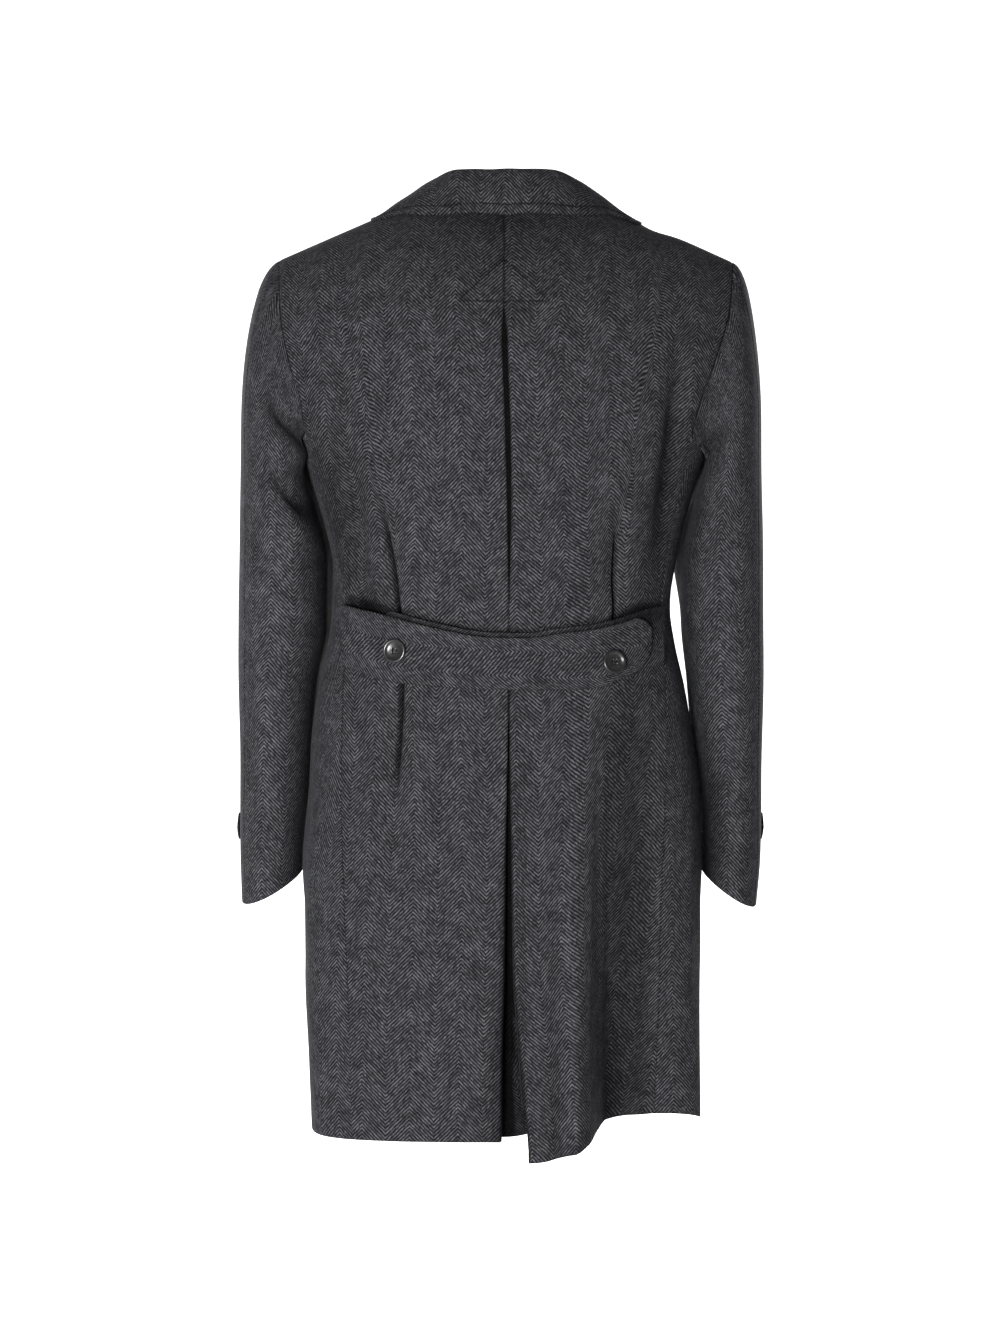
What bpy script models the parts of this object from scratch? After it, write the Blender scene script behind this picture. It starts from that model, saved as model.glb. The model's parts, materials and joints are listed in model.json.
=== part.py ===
"""A double-breasted wool overcoat with a half belt, filled out as if worn and open inside.

Metres, +Z up. The front of the coat faces -Y, its back faces +Y, and +X is the wearer's left.
The origin lies at the base of the neck, level with the inner ends of the shoulder seams.
"""
import math

import bmesh
import bpy
import numpy as np
from mathutils import Matrix

# Driving sizes
CLOTH = 0.0020            # thickness of the wool cloth
SEAM_GAP = 0.0003         # clearance between sewn pieces
LAY_GAP = 0.0008          # clearance under a piece that lies on a panel
LAPEL_GAP = 0.0012        # clearance under a lapel
ARM_GAP = 0.0009          # clearance between a sleeve and its armhole
NECK_HALF = 0.085         # half width of the neck between the shoulder seams
NECK_TOP = 0.020          # height that the shoulder slope would reach at the centre
NECK_POINT = 0.002        # height of the shoulder seam at the neck
NECK_BACK = -0.012        # height of the neck seam at the centre back
SHOULDER_HALF = 0.2295    # half width between the shoulder points
ROLL_CENTRE = 0.22        # height over which the back rounds up to the neck
ROLL_EDGE = 0.10          # height over which it rounds at the shoulder points
ARM_BASE = -0.237         # height where the armhole meets the side seam
ARM_FRONT = -0.215        # height where the underarm curve turns up the front
HEM_FRONT = -0.939        # height of the hem along the fronts
FRONT_LAP = 0.075         # how far each front passes the centre line
BREAK = -0.33             # height where the lapels start to turn back
LAP_LIFT = 0.0066         # how far the upper front stands off the lower one
LAP_START = 0.14          # the upper front starts to lift here, across the coat
LAP_TOP = -0.12           # and here, up the coat
LAP_RAMP = 0.05           # over this length
BUTTON_RADIUS = 0.012
BUTTON_HEIGHT = 0.0042
BUTTON_SIDES = 14

LEFT, RIGHT = 1, -1
BACK, FRONT = 1, -1
SHOULDER_POINT = {LEFT: -0.060, RIGHT: -0.062}   # heights of the shoulder points
SHOULDER_DIP = 0.004      # the right shoulder seam dips by this much beside the collar
DIP_PLACE = 0.147         # at this distance from the centre
DIP_WIDTH = 0.020         # and over this width to each side


def table(columns, rows):
    """Hold rows of numbers under the names of their columns."""
    values = np.array(rows, dtype=float)
    return {name: values[:, place] for place, name in enumerate(columns.split())}


# Half widths and depths of the body at each height, from the hem up
BODY = table("height left right back back_right front squareness", [
    (-0.940, 0.1970, 0.1990, 0.113, 0.058, 0.148, 3.8),
    (-0.860, 0.2015, 0.1990, 0.116, 0.068, 0.147, 3.5),
    (-0.780, 0.2050, 0.1980, 0.119, 0.078, 0.145, 3.2),
    (-0.680, 0.2050, 0.1980, 0.122, 0.092, 0.141, 2.9),
    (-0.600, 0.1990, 0.1940, 0.122, 0.104, 0.136, 2.6),
    (-0.540, 0.1950, 0.1870, 0.120, 0.113, 0.131, 2.4),
    (-0.490, 0.1890, 0.1800, 0.117, 0.117, 0.128, 2.3),
    (-0.450, 0.1810, 0.1714, 0.114, 0.114, 0.126, 2.3),
    (-0.420, 0.1775, 0.1675, 0.114, 0.114, 0.126, 2.3),
    (-0.370, 0.1765, 0.1730, 0.118, 0.118, 0.130, 2.3),
    (-0.330, 0.1840, 0.1810, 0.125, 0.125, 0.134, 2.3),
    (-0.270, 0.2030, 0.1990, 0.133, 0.133, 0.137, 2.3),
    (-0.200, 0.2300, 0.2280, 0.137, 0.137, 0.135, 2.3),
    (-0.100, 0.2450, 0.2450, 0.131, 0.131, 0.125, 2.3),
    (0.020, 0.2450, 0.2450, 0.120, 0.120, 0.110, 2.3),
])
FLAT_HIP = 0.06           # the right hip is as flat as back_right from here outwards
FRONT_HEM_RUN = 0.6       # share of a front over which the hem settles to its level

# Outer edge of each back panel: the side seam up to ARM_BASE, then the armhole
BACK_EDGE = table("height left right", [
    (-0.940, 0.1530, 0.1490),
    (-0.810, 0.1570, 0.1534),
    (-0.710, 0.1610, 0.1554),
    (-0.610, 0.1646, 0.1593),
    (-0.500, 0.1635, 0.1612),
    (-0.410, 0.1604, 0.1565),
    (-0.360, 0.1700, 0.1620),
    (-0.300, 0.1860, 0.1740),
    (-0.237, 0.2010, 0.1850),
    (-0.205, 0.2055, 0.1940),
    (-0.180, 0.2131, 0.2040),
    (-0.150, 0.2205, 0.2140),
    (-0.115, 0.2262, 0.2235),
    (-0.062, 0.2295, 0.2295),
])

# The inverted pleat at the centre back: its line and how far it stands open
PLEAT = table("height line opening", [
    (-0.937, -0.0074, 0.0232),
    (-0.850, -0.0056, 0.0179),
    (-0.770, -0.0037, 0.0097),
    (-0.650, -0.0030, 0.0052),
    (-0.500, -0.0025, 0.0000),
    (-0.400, -0.0027, 0.0000),
    (-0.320, -0.0032, 0.0025),
    (-0.240, -0.0017, 0.0037),
    (-0.180, 0.0012, 0.0040),
    (-0.104, 0.0020, 0.0000),
    (0.000, 0.0020, 0.0000),
])

# Height of the back hem across the coat, lifted over the hollow beside the right fold
HEM = table("across height", [
    (-0.200, -0.917), (-0.149, -0.916), (-0.120, -0.920), (-0.102, -0.924), (-0.092, -0.932),
    (-0.082, -0.939), (-0.068, -0.944), (-0.019, -0.949), (0.000, -0.9395), (0.200, -0.9385),
])

# The deep fold in the right skirt, as a move out from the body at the hem
SKIRT_FOLD = table("across out", [
    (-0.149, 0.000), (-0.135, -0.003), (-0.120, -0.010), (-0.102, -0.005), (-0.092, 0.023),
    (-0.082, 0.069), (-0.068, 0.091), (-0.045, 0.091), (-0.019, 0.066),
])
SKIRT_FOLD_TOP = -0.492   # it starts at the lower edge of the half belt
SKIRT_FOLD_GROWTH = 1.15  # and deepens towards the hem at this power
UNDERLAY_HEM = -0.937     # the strip behind the pleat ends here
UNDERLAY_LEFT = 0.024     # how far the strip reaches behind each panel
UNDERLAY_RIGHT = 0.011
UNDERLAY_TOP = (-0.200, -0.160, -0.125)   # its grid rows above the armhole's foot
UNDERLAY_GAP = 0.0012     # its clearance behind the panels
UNDERLAY_DEPTH = 0.014    # how much further in it lies at the hem

# Soft tucks and folds in the back: each runs from its top end to its low end
TUCKS = table("top_x top_z low_x low_z width out", [
    (0.1275, -0.295, 0.1055, -0.415, 0.012, -0.0045),
    (-0.1120, -0.315, -0.1065, -0.418, 0.012, -0.0045),
    (0.1030, -0.475, 0.1160, -0.640, 0.012, -0.0060),
    (-0.1740, -0.120, -0.1440, -0.415, 0.014, -0.0065),
])
TUCK_FADE = 4             # a tuck fades in over this part of its length
SIDE_FADE = 7             # and every fold flattens over this part of the panel at the side seam

# The underarm curve of the armhole, from the side seam to the front
UNDERARM = table("along height", [
    (0.00, -0.237), (0.25, -0.259), (0.50, -0.268), (0.75, -0.2555), (1.00, -0.215),
])

# The front of the armhole, up to the shoulder point
ARM_CURVE = table("height across", [
    (-0.215, 0.1935), (-0.180, 0.1935), (-0.140, 0.2010), (-0.100, 0.2165), (-0.062, 0.2295),
])

# Sleeve rings from the biceps to the cuff: levels and reach of the outer and inner sides, depth and
# centre, and how far the front of the arm leans in towards the body
SLEEVE_COLUMNS = "outer_z inner_z outer_x inner_x depth centre_y lean"
CUFF_DIP = 0.007           # the cuff's back edge hangs lower than its front edge by twice this
CUFF_DIP_RINGS = (5, 7)    # the rings between which the dip grows
SLEEVE_RINGS = {
    LEFT: table(SLEEVE_COLUMNS, [
        (-0.220, -0.300, 0.2693, 0.1965, 0.082, -0.002, 0.010),
        (-0.330, -0.365, 0.2713, 0.1815, 0.077, -0.005, 0.030),
        (-0.420, -0.430, 0.2734, 0.1822, 0.072, -0.010, 0.032),
        (-0.485, -0.485, 0.2734, 0.1920, 0.069, -0.015, 0.030),
        (-0.540, -0.540, 0.2734, 0.1980, 0.066, -0.020, 0.026),
        (-0.600, -0.595, 0.2738, 0.2020, 0.063, -0.026, 0.022),
        (-0.665, -0.640, 0.2742, 0.2065, 0.060, -0.032, 0.016),
        (-0.715, -0.683, 0.2732, 0.2085, 0.058, -0.037, 0.010),
    ]),
    RIGHT: table(SLEEVE_COLUMNS, [
        (-0.220, -0.300, 0.2595, 0.1930, 0.082, -0.002, 0.010),
        (-0.330, -0.365, 0.2617, 0.1785, 0.077, -0.005, 0.026),
        (-0.420, -0.430, 0.2628, 0.1790, 0.072, -0.010, 0.010),
        (-0.485, -0.485, 0.2632, 0.1845, 0.069, -0.015, 0.000),
        (-0.540, -0.540, 0.2632, 0.1905, 0.066, -0.020, 0.000),
        (-0.600, -0.595, 0.2632, 0.1972, 0.063, -0.026, 0.000),
        (-0.665, -0.640, 0.2622, 0.2005, 0.060, -0.032, 0.000),
        (-0.718, -0.683, 0.2585, 0.2015, 0.058, -0.037, 0.000),
    ]),
}

# The sleeve cap between the armhole and the first ring
ARMHOLE_TURNS = (0, 145, 228, 360)      # degrees at the shoulder, side seam, underarm front, shoulder
CAP_PULL_LOW = (0.40, 0.35, 0.25)       # how the cap's curve leans at the underarm, along x, y and z
CAP_PULL_HIGH = (0.82, 0.60, 0.06)      # and at the shoulder
UNDERARM_PUSH = 0.0045                  # the cap clears the body by this at the underarm
CAP_STEPS = (0.0, 0.18, 0.38, 0.6, 0.8)
HIND_SEAM = 2                           # grid line of the seam down the back of the arm

# Half of the collar from the centre back to its front end; drop is below the shoulder line
COLLAR = table("reach seam_x seam_z roll_out roll_up bulge edge_x edge_drop", [
    (0.00, 0.0000, -0.0120, 0.0085, 0.0355, 0.0030, 0.000, 0.0455),
    (0.25, 0.0455, -0.0080, 0.0080, 0.0320, 0.0025, 0.065, 0.0340),
    (0.42, 0.0700, -0.0025, 0.0070, 0.0205, 0.0000, 0.107, 0.0135),
    (0.55, 0.0850, 0.0020, 0.0065, 0.0100, 0.0006, 0.134, 0.0060),
    (0.625, 0.0815, -0.0053, 0.0067, 0.0110, 0.0010, 0.137, 0.0000),
    (0.78, 0.0705, -0.0280, 0.0075, 0.0130, 0.0010, 0.141, -0.0160),
    (1.00, 0.0563, -0.0575, 0.0080, 0.0100, 0.0020, 0.130, -0.0410),
])
STAND_INSET = 0.0015       # clearance between the collar stand and the neckline
RIGHT_ROLL = 0.65         # share of the collar's roll that is left on the right side
COLLAR_LIFT = 0.0021       # clearance under the edge of the fall
COLLAR_COLUMNS = 33

# Cross-section of the collar: shares of its roll and of the fall from the roll to the edge
COLLAR_SECTION = table("out up fall bulge", [
    (0.00, 0.00, 0.00, 0.0), (0.00, 0.50, 0.00, 0.0), (0.12, 0.84, 0.00, 0.0), (0.60, 1.00, 0.00, 0.0),
    (1.25, 0.86, 0.00, 0.0), (1.25, 0.86, 0.35, 1.0), (1.25, 0.86, 0.70, 0.8), (1.25, 0.86, 1.00, 0.0),
])

# Lapel width and rise along the roll line, from its top to the break
LAPEL = table("along width rise", [
    (0.19, 0.082, 0.000), (0.25, 0.112, 0.030), (0.36, 0.105, 0.014), (0.60, 0.072, 0.006),
    (0.85, 0.032, 0.000), (0.985, 0.004, 0.000),
])
ROLL_GAP = 0.0006         # the lapel starts this far from the front's own edge

# The two pieces of the half belt across the back: upper and lower edges
BELT = table("across top bottom", [
    (-0.1584, -0.4137, -0.4720), (-0.1398, -0.4167, -0.4740), (-0.1084, -0.4274, -0.4830),
    (-0.0860, -0.4323, -0.4905), (-0.0527, -0.4363, -0.4920), (-0.0184, -0.4408, -0.4920),
    (0.0149, -0.4402, -0.4920), (0.0718, -0.4304, -0.4890), (0.1050, -0.4216, -0.4862),
    (0.1588, -0.4078, -0.4705),
])
BELT_OVER_ENDS = (0.1585, -0.1398)
BELT_UNDER_ENDS = (-0.1560, 0.1280)
BELT_UNDER_LIFT = 0.0012 + CLOTH
BELT_OVER_LIFT = BELT_UNDER_LIFT + 0.0018 + CLOTH
BELT_UNDER_RISE = 0.005   # the under piece shows this far above the over piece
BELT_ROUNDING = 0.016     # how far the corners of the belt's free end are cut back

# Profile of a button from the middle of its face to the middle of its back, in shares of its size
BUTTON_PROFILE = table("radius height", [
    (0.00, 0.55), (0.55, 0.60), (0.72, 1.00), (0.90, 1.00), (1.00, 0.62), (0.86, 0.12), (0.60, 0.00),
    (0.00, 0.00),
])

# Where the buttons sit
BELT_BUTTONS = {"belt_button_left": (0.1065, -0.4543), "belt_button_right": (-0.1027, -0.466)}
FRONT_BUTTON_X = 0.055
FRONT_BUTTON_ROWS = (-0.365, -0.470, -0.575)

# Cuff strap: its span round the sleeve in degrees and along the rings, and its button's place
TAB_TURNS = (-112.0, 4.0)
TAB_RINGS = (5.38, 5.80)
TAB_TAPER = 12.0
TAB_BUTTON = (-46.0, 5.59)

# Grid lines. The armhole is shared by panels and sleeves, so its counts are too
ROWS_ARM = 8
COLUMNS_UNDERARM = 6
COLUMNS_FRONT = 9
BODY_ROWS = np.array([-0.940, -0.880, -0.820, -0.760, -0.700, -0.645, -0.600, -0.560, -0.525, -0.495,
                      -0.475, -0.455, -0.435, -0.415, -0.385, -0.350, -0.310, -0.270, ARM_BASE])
BACK_COLUMNS = (0.10, 0.20, 0.30, 0.43, 0.485, 0.525, 0.56, 0.60, 0.64, 0.70, 0.78, 0.89)

CHARCOAL = (0.062, 0.062, 0.068, 1.0)
BUTTON_BLACK = (0.012, 0.012, 0.014, 1.0)


def spline(keys, values, at):
    """Smooth curve through a table's points that never overshoots them, held level past its ends."""
    at = np.clip(at, keys[0], keys[-1])
    rise = np.diff(values) / np.diff(keys)
    even = 2 * rise[:-1] * rise[1:] / np.where(rise[:-1] * rise[1:] > 0, rise[:-1] + rise[1:], 1.0)
    slopes = np.concatenate([rise[:1], np.where(rise[:-1] * rise[1:] > 0, even, 0.0), rise[-1:]])
    k = np.clip(np.searchsorted(keys, at) - 1, 0, len(keys) - 2)
    step = keys[k + 1] - keys[k]
    t = (at - keys[k]) / step
    start = values[k] * (1 + 2 * t) + slopes[k] * step * t
    end = values[k + 1] * (3 - 2 * t) - slopes[k + 1] * step * (1 - t)
    return start * (1 - t) ** 2 + end * t ** 2


def read(tab, column, at, key="height"):
    return spline(tab[key], tab[column], at)


def mix(a, b, t):
    return a + (b - a) * t


def ease(t):
    t = np.clip(t, 0.0, 1.0)
    return t * t * (3 - 2 * t)


def stack(x, y, z):
    return np.stack(np.broadcast_arrays(x, y, z), axis=-1).astype(float)


def unit(v):
    return v / np.linalg.norm(v, axis=-1, keepdims=True)


# The body's form
def half_width(x, z):
    return np.where(np.asarray(x) >= 0, read(BODY, "left", z), read(BODY, "right", z))


def shoulder_dip(x):
    """Depth of the dip in the right shoulder seam."""
    return SHOULDER_DIP * np.exp(-((np.asarray(x) + DIP_PLACE) / DIP_WIDTH) ** 2)


def shoulder_line(x):
    """Height of the shoulder slope, rounded across the neck."""
    out = np.abs(x)
    neck = NECK_TOP - (NECK_TOP - NECK_POINT) * (out / NECK_HALF) ** 2
    run = (out - NECK_HALF) / (SHOULDER_HALF - NECK_HALF)
    point = np.where(np.asarray(x) >= 0, SHOULDER_POINT[LEFT], SHOULDER_POINT[RIGHT])
    return np.where(out < NECK_HALF, neck, mix(NECK_POINT, point, run)) - shoulder_dip(x)


def shoulder_round(x, z):
    """How far the body has filled out below the shoulder line, from 0 to 1."""
    height = mix(ROLL_CENTRE, ROLL_EDGE, np.clip(np.abs(x) / SHOULDER_HALF, 0, 1))
    t = np.clip((shoulder_line(x) - z) / height, 0, 1)
    return np.sqrt(1 - (1 - t) ** 2)


def back_depth(x, z):
    """Depth of the back, which flattens over the right hip."""
    return mix(read(BODY, "back_right", z), read(BODY, "back", z), ease((x + FLAT_HIP) / FLAT_HIP))


def body_y(x, z, face):
    """Depth of the body's front or back at a place across it."""
    square = read(BODY, "squareness", z)
    depth = back_depth(x, z) if face == BACK else read(BODY, "front", z)
    share = np.clip(1 - (np.abs(x) / half_width(x, z)) ** square, 0, 1) ** (1 / square)
    return face * (depth * share * shoulder_round(x, z) + SEAM_GAP / 2)


def turn_of(side, x, z):
    """Angle round the body from the centre back, for a place on its back half."""
    return np.arcsin(np.clip(side * x / half_width(x, z), 0, 1) ** (read(BODY, "squareness", z) / 2))


def ring_point(side, turn, z):
    """Point on the body at an angle from the centre back towards one side."""
    power = 2 / read(BODY, "squareness", z)
    s, c = np.sin(turn), np.cos(turn)
    x = side * np.sign(s) * half_width(side * s, z) * np.abs(s) ** power
    depth = np.where(c >= 0, back_depth(x, z), read(BODY, "front", z))
    y = np.sign(c) * depth * np.abs(c) ** power * shoulder_round(x, z) - SEAM_GAP / 2
    return x, y


def back_folds(side, u, x, z):
    """Move out of a back panel made by the skirt fold and the tucks."""
    out = np.zeros_like(x)
    if side == RIGHT:
        grow = np.clip((SKIRT_FOLD_TOP - z) / (SKIRT_FOLD_TOP - HEM_FRONT), 0, 1.05)
        out = read(SKIRT_FOLD, "out", x, "across") * grow ** SKIRT_FOLD_GROWTH
    for top_x, top_z, low_x, low_z, width, depth in zip(*TUCKS.values()):
        t = (z - top_z) / (low_z - top_z)
        fade = ease(t * TUCK_FADE) * ease((1 - t) * TUCK_FADE)
        out = out + depth * fade * np.exp(-((x - mix(top_x, low_x, t)) / width) ** 2)
    return out * ease((1 - u) * SIDE_FADE)


# Panels, as points at (u, v) on each
def back_edge(side, z):
    return side * read(BACK_EDGE, "left" if side == LEFT else "right", z)


def pleat_edge(side, z):
    return read(PLEAT, "line", z) + side * (read(PLEAT, "opening", z) + SEAM_GAP) / 2


def back_panel(side, u, v):
    """u runs from the centre back to the side; v from the hem to the armhole's foot, then the top."""
    hem_x = mix(pleat_edge(side, HEM_FRONT), back_edge(side, HEM_FRONT), u)
    hem = read(HEM, "height", hem_x, "across")
    top_x = mix(pleat_edge(side, 0.0), side * SHOULDER_HALF, u)
    neckline = NECK_BACK + (NECK_POINT - NECK_BACK) * (top_x / NECK_HALF) ** 2
    top = np.where(np.abs(top_x) < NECK_HALF, neckline, shoulder_line(top_x))
    z = np.where(v <= 1, mix(hem, ARM_BASE, v), mix(ARM_BASE, top, v - 1))
    x = mix(pleat_edge(side, z), back_edge(side, z), u)
    return stack(x, body_y(x, z, BACK) + back_folds(side, u, x, z), z)


def lap_lift(side, x, z):
    """The left front stands off the right one where they lap."""
    if side == RIGHT:
        return 0.0
    return LAP_LIFT * ease((LAP_START - x) / LAP_RAMP) * ease((LAP_TOP - z) / LAP_RAMP)


def front_edge_x(z):
    """Front edge on its own side: past the centre up to the break, then along the roll line."""
    slope = (NECK_HALF + FRONT_LAP) / (NECK_POINT - BREAK)
    return np.where(z < BREAK, -FRONT_LAP, -FRONT_LAP + (z - BREAK) * slope)


def front_turn(side, own_x, z):
    share = np.abs(own_x) / half_width(side * np.sign(own_x), z)
    return math.pi - np.sign(own_x) * np.arcsin(share ** (read(BODY, "squareness", z) / 2))


def front_split(side):
    """Share of the lower front's width that lies under the armhole."""
    start = turn_of(side, back_edge(side, ARM_FRONT), ARM_FRONT)
    arm = front_turn(side, ARM_CURVE["across"][0], ARM_FRONT)
    return (arm - start) / (front_turn(side, front_edge_x(ARM_FRONT), ARM_FRONT) - start)


def front_lower(side, s, v):
    """s runs from the side seam to the front edge; v from the hem to the underarm's level."""
    split = front_split(side)
    top = np.where(s < split, read(UNDERARM, "height", s / split, "along"), ARM_FRONT)
    side_hem = read(HEM, "height", back_edge(side, HEM_FRONT), "across")
    z = mix(mix(side_hem, HEM_FRONT, ease(s / FRONT_HEM_RUN)), top, v)
    start = turn_of(side, back_edge(side, z), z)
    x, y = ring_point(side, mix(start, front_turn(side, front_edge_x(z), z), s), z)
    return stack(x, y - lap_lift(side, x, z), z)


def front_upper(side, w, v):
    """w runs from the armhole to the roll line; v from the underarm's level to the shoulder seam."""
    split = front_split(side)
    first = side * front_lower(side, mix(split, 1.0, w), np.ones_like(w))[..., 0]
    arm_z = mix(ARM_FRONT, SHOULDER_POINT[side], v)
    roll_z = mix(ARM_FRONT, NECK_POINT, v)
    start, end = ARM_CURVE["across"][0], front_edge_x(ARM_FRONT)
    share = mix((first - start) / (end - start), w, v)
    x = side * mix(read(ARM_CURVE, "across", arm_z), front_edge_x(roll_z), share)
    z = mix(arm_z, roll_z, share) - shoulder_dip(x) * v ** 6
    return stack(x, body_y(x, z, FRONT) - lap_lift(side, x, z), z)


def lay_on(surface, first, second, lift, middle=(0.0, 0.0, -0.25), step=1e-4):
    """Points of a surface moved out along its normal, which points away from the middle."""
    point = surface(first, second)
    along = surface(first + step, second) - surface(first - step, second)
    across = surface(first, second + step) - surface(first, second - step)
    normal = unit(np.cross(along, across))
    outward = point - np.array(middle)
    normal = normal * np.sign(np.sum(normal * outward, axis=-1, keepdims=True))
    return point + normal * np.asarray(lift)[..., None], normal


def grid_normals(points, ring=False):
    """Normals of a grid of points by central differences."""
    rows = np.gradient(points, axis=0)
    if ring:
        columns = np.roll(points, -1, axis=1) - np.roll(points, 1, axis=1)
    else:
        columns = np.gradient(points, axis=1)
    return unit(np.cross(columns, rows))


def panel_normals(panel, u, v, step=1e-4):
    """Normals of a panel at its grid lines, with short steps that stay on its own side of an edge."""
    low_u, high_u = np.maximum(u - step, 0), np.minimum(u + step, 1)
    low_v, high_v = np.maximum(v - step, np.floor(v - 1e-9)), np.minimum(v + step, np.ceil(v + 1e-9))
    low_v, high_v = np.maximum(low_v, 0), np.minimum(high_v, v.max())
    return unit(np.cross(panel(high_u, v) - panel(low_u, v), panel(u, high_v) - panel(u, low_v)))


# Making solids
def finish(name, colour, roughness):
    material = bpy.data.materials.new(name + "_finish")
    material.use_nodes = True
    shader = material.node_tree.nodes["Principled BSDF"]
    shader.inputs["Base Color"].default_value = colour
    shader.inputs["Roughness"].default_value = roughness
    shader.inputs["Metallic"].default_value = 0.0
    return material


def add_part(name, bm, colour=CHARCOAL, roughness=0.9):
    bmesh.ops.recalc_face_normals(bm, faces=bm.faces)
    mesh = bpy.data.meshes.new(name)
    bm.to_mesh(mesh)
    bm.free()
    mesh.shade_smooth()
    mesh.set_sharp_from_angle(angle=math.radians(40))
    part = bpy.data.objects.new(name, mesh)
    part.data.materials.append(finish(name, colour, roughness))
    bpy.data.collections["double_breasted_coat"].objects.link(part)
    return part


def cloth_wall(name, outer, normals, missing=None):
    """Close a grid of points into a wall of cloth; missing marks the grid faces that are cut away."""
    rows, columns = outer.shape[:2]
    bm = bmesh.new()
    layers = []
    for points in (outer, outer - normals * CLOTH):
        made = bmesh.ops.create_grid(bm, x_segments=columns - 1, y_segments=rows - 1, size=1.0)
        for vert, place in zip(made["verts"], points.reshape(-1, 3)):
            vert.co = place
        layers.append(made["verts"])
    if missing is not None:
        per_layer = (rows - 1) * (columns - 1)
        bm.faces.ensure_lookup_table()
        cut = [bm.faces[layer * per_layer + place] for layer in (0, 1)
               for place in np.flatnonzero(missing.reshape(-1))]
        bmesh.ops.delete(bm, geom=cut, context="FACES")
    partner = dict(zip(layers[0], layers[1]))
    rim = [edge for edge in bm.edges if edge.is_boundary and edge.verts[0] in partner]
    for edge in rim:
        a, b = edge.verts
        bm.faces.new((a, b, partner[b], partner[a]))
    return add_part(name, bm)


def sheet(name, surface, first, second, lift):
    """A cloth piece that lies on a surface, at its grid lines, with its outer face lifted off it."""
    points, normals = lay_on(surface, first, second, np.broadcast_to(lift, first.shape))
    return cloth_wall(name, points, normals)


def make_back(side, name):
    neck = (NECK_HALF - side * pleat_edge(side, 0.0)) / (SHOULDER_HALF - side * pleat_edge(side, 0.0))
    columns = np.sort(np.array((0.0, neck, 1.0) + BACK_COLUMNS))
    lower = (BODY_ROWS - BODY_ROWS[0]) / (ARM_BASE - BODY_ROWS[0])
    rows = np.concatenate([lower, 1 + arm_rows()[1:]])
    u, v = np.meshgrid(columns, rows)

    def panel(first, second):
        return back_panel(side, first, second)

    points = panel(u, v)
    cloth_wall(name, points, side * -1 * panel_normals(panel, u, v))
    return points[len(lower) - 1:, -1]


def arm_rows():
    """Row fractions up the armhole, closer together where the shoulder rounds over."""
    return 1 - (1 - np.linspace(0, 1, ROWS_ARM + 1)) ** 1.5


def make_front(side, name):
    split = front_split(side)
    under = np.linspace(0, split, COLUMNS_UNDERARM + 1)
    ahead = np.linspace(split, 1, COLUMNS_FRONT + 1)
    s, v = np.meshgrid(np.concatenate([under, ahead[1:]]),
                       (BODY_ROWS - BODY_ROWS[0]) / (ARM_BASE - BODY_ROWS[0]))
    w, top_v = np.meshgrid(np.linspace(0, 1, COLUMNS_FRONT + 1), arm_rows())

    def lower_panel(first, second):
        return front_lower(side, first, second)

    def upper_panel(first, second):
        return front_upper(side, first, second)

    lower, lower_normals = lower_panel(s, v), panel_normals(lower_panel, s, v)
    upper, upper_normals = upper_panel(w, top_v), panel_normals(upper_panel, w, top_v)
    spare = np.repeat(upper[1:, :1], COLUMNS_UNDERARM, axis=1)
    spare_normals = np.repeat(upper_normals[1:, :1], COLUMNS_UNDERARM, axis=1)
    points = np.concatenate([lower, np.concatenate([spare, upper[1:]], axis=1)])
    normals = np.concatenate([lower_normals, np.concatenate([spare_normals, upper_normals[1:]], axis=1)])
    missing = np.zeros((len(points) - 1, points.shape[1] - 1), dtype=bool)
    missing[len(lower) - 1:, :COLUMNS_UNDERARM] = True
    cloth_wall(name, points, side * -1 * normals, missing)
    return lower[-1, :COLUMNS_UNDERARM + 1], upper[:, 0]


def sleeve_ring(side, ring, turn):
    """Point on the sleeve at a place along its rings and an angle from its outer side to its back."""
    rings = SLEEVE_RINGS[side]
    places = np.arange(len(rings["depth"]), dtype=float)

    def at(column):
        return spline(places, rings[column], ring)

    outer, front = (1 + np.cos(turn)) / 2, np.clip(-np.sin(turn), 0, 1)
    x = mix(at("inner_x"), at("outer_x"), outer) - at("lean") * front ** 2 * (1 - outer)
    first, last = CUFF_DIP_RINGS
    dip = CUFF_DIP * ease((ring - first) / (last - first)) * np.sin(turn)
    z = mix(at("inner_z"), at("outer_z"), outer) - dip
    return stack(side * x, at("centre_y") + at("depth") * np.sin(turn), z)


def sleeve_points(side, loop):
    """Rows of points from the armhole loop over the sleeve cap and down to the cuff."""
    turns = np.radians(np.interp(np.arange(len(loop)),
                                 (0, ROWS_ARM, ROWS_ARM + COLUMNS_UNDERARM, len(loop)), ARMHOLE_TURNS))
    start = loop + np.array([side * ARM_GAP, 0, 0])
    first = sleeve_ring(side, 0.0, turns)
    span = first - start
    high = ease((1 + np.cos(turns)) / 2)[:, None]
    pull = mix(np.array(CAP_PULL_LOW), np.array(CAP_PULL_HIGH), high)
    push = stack(side * UNDERARM_PUSH * (1 - high[:, 0]), np.zeros(len(loop)), np.zeros(len(loop)))
    control = start + span * pull + push
    rows = [start * (1 - t) ** 2 + control * 2 * t * (1 - t) + first * t ** 2
            for t in CAP_STEPS]
    last = len(SLEEVE_RINGS[side]["depth"]) - 1
    rows += [sleeve_ring(side, ring, turns) for ring in np.linspace(0, last, 2 * last - 1)]
    return np.array(rows)


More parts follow.
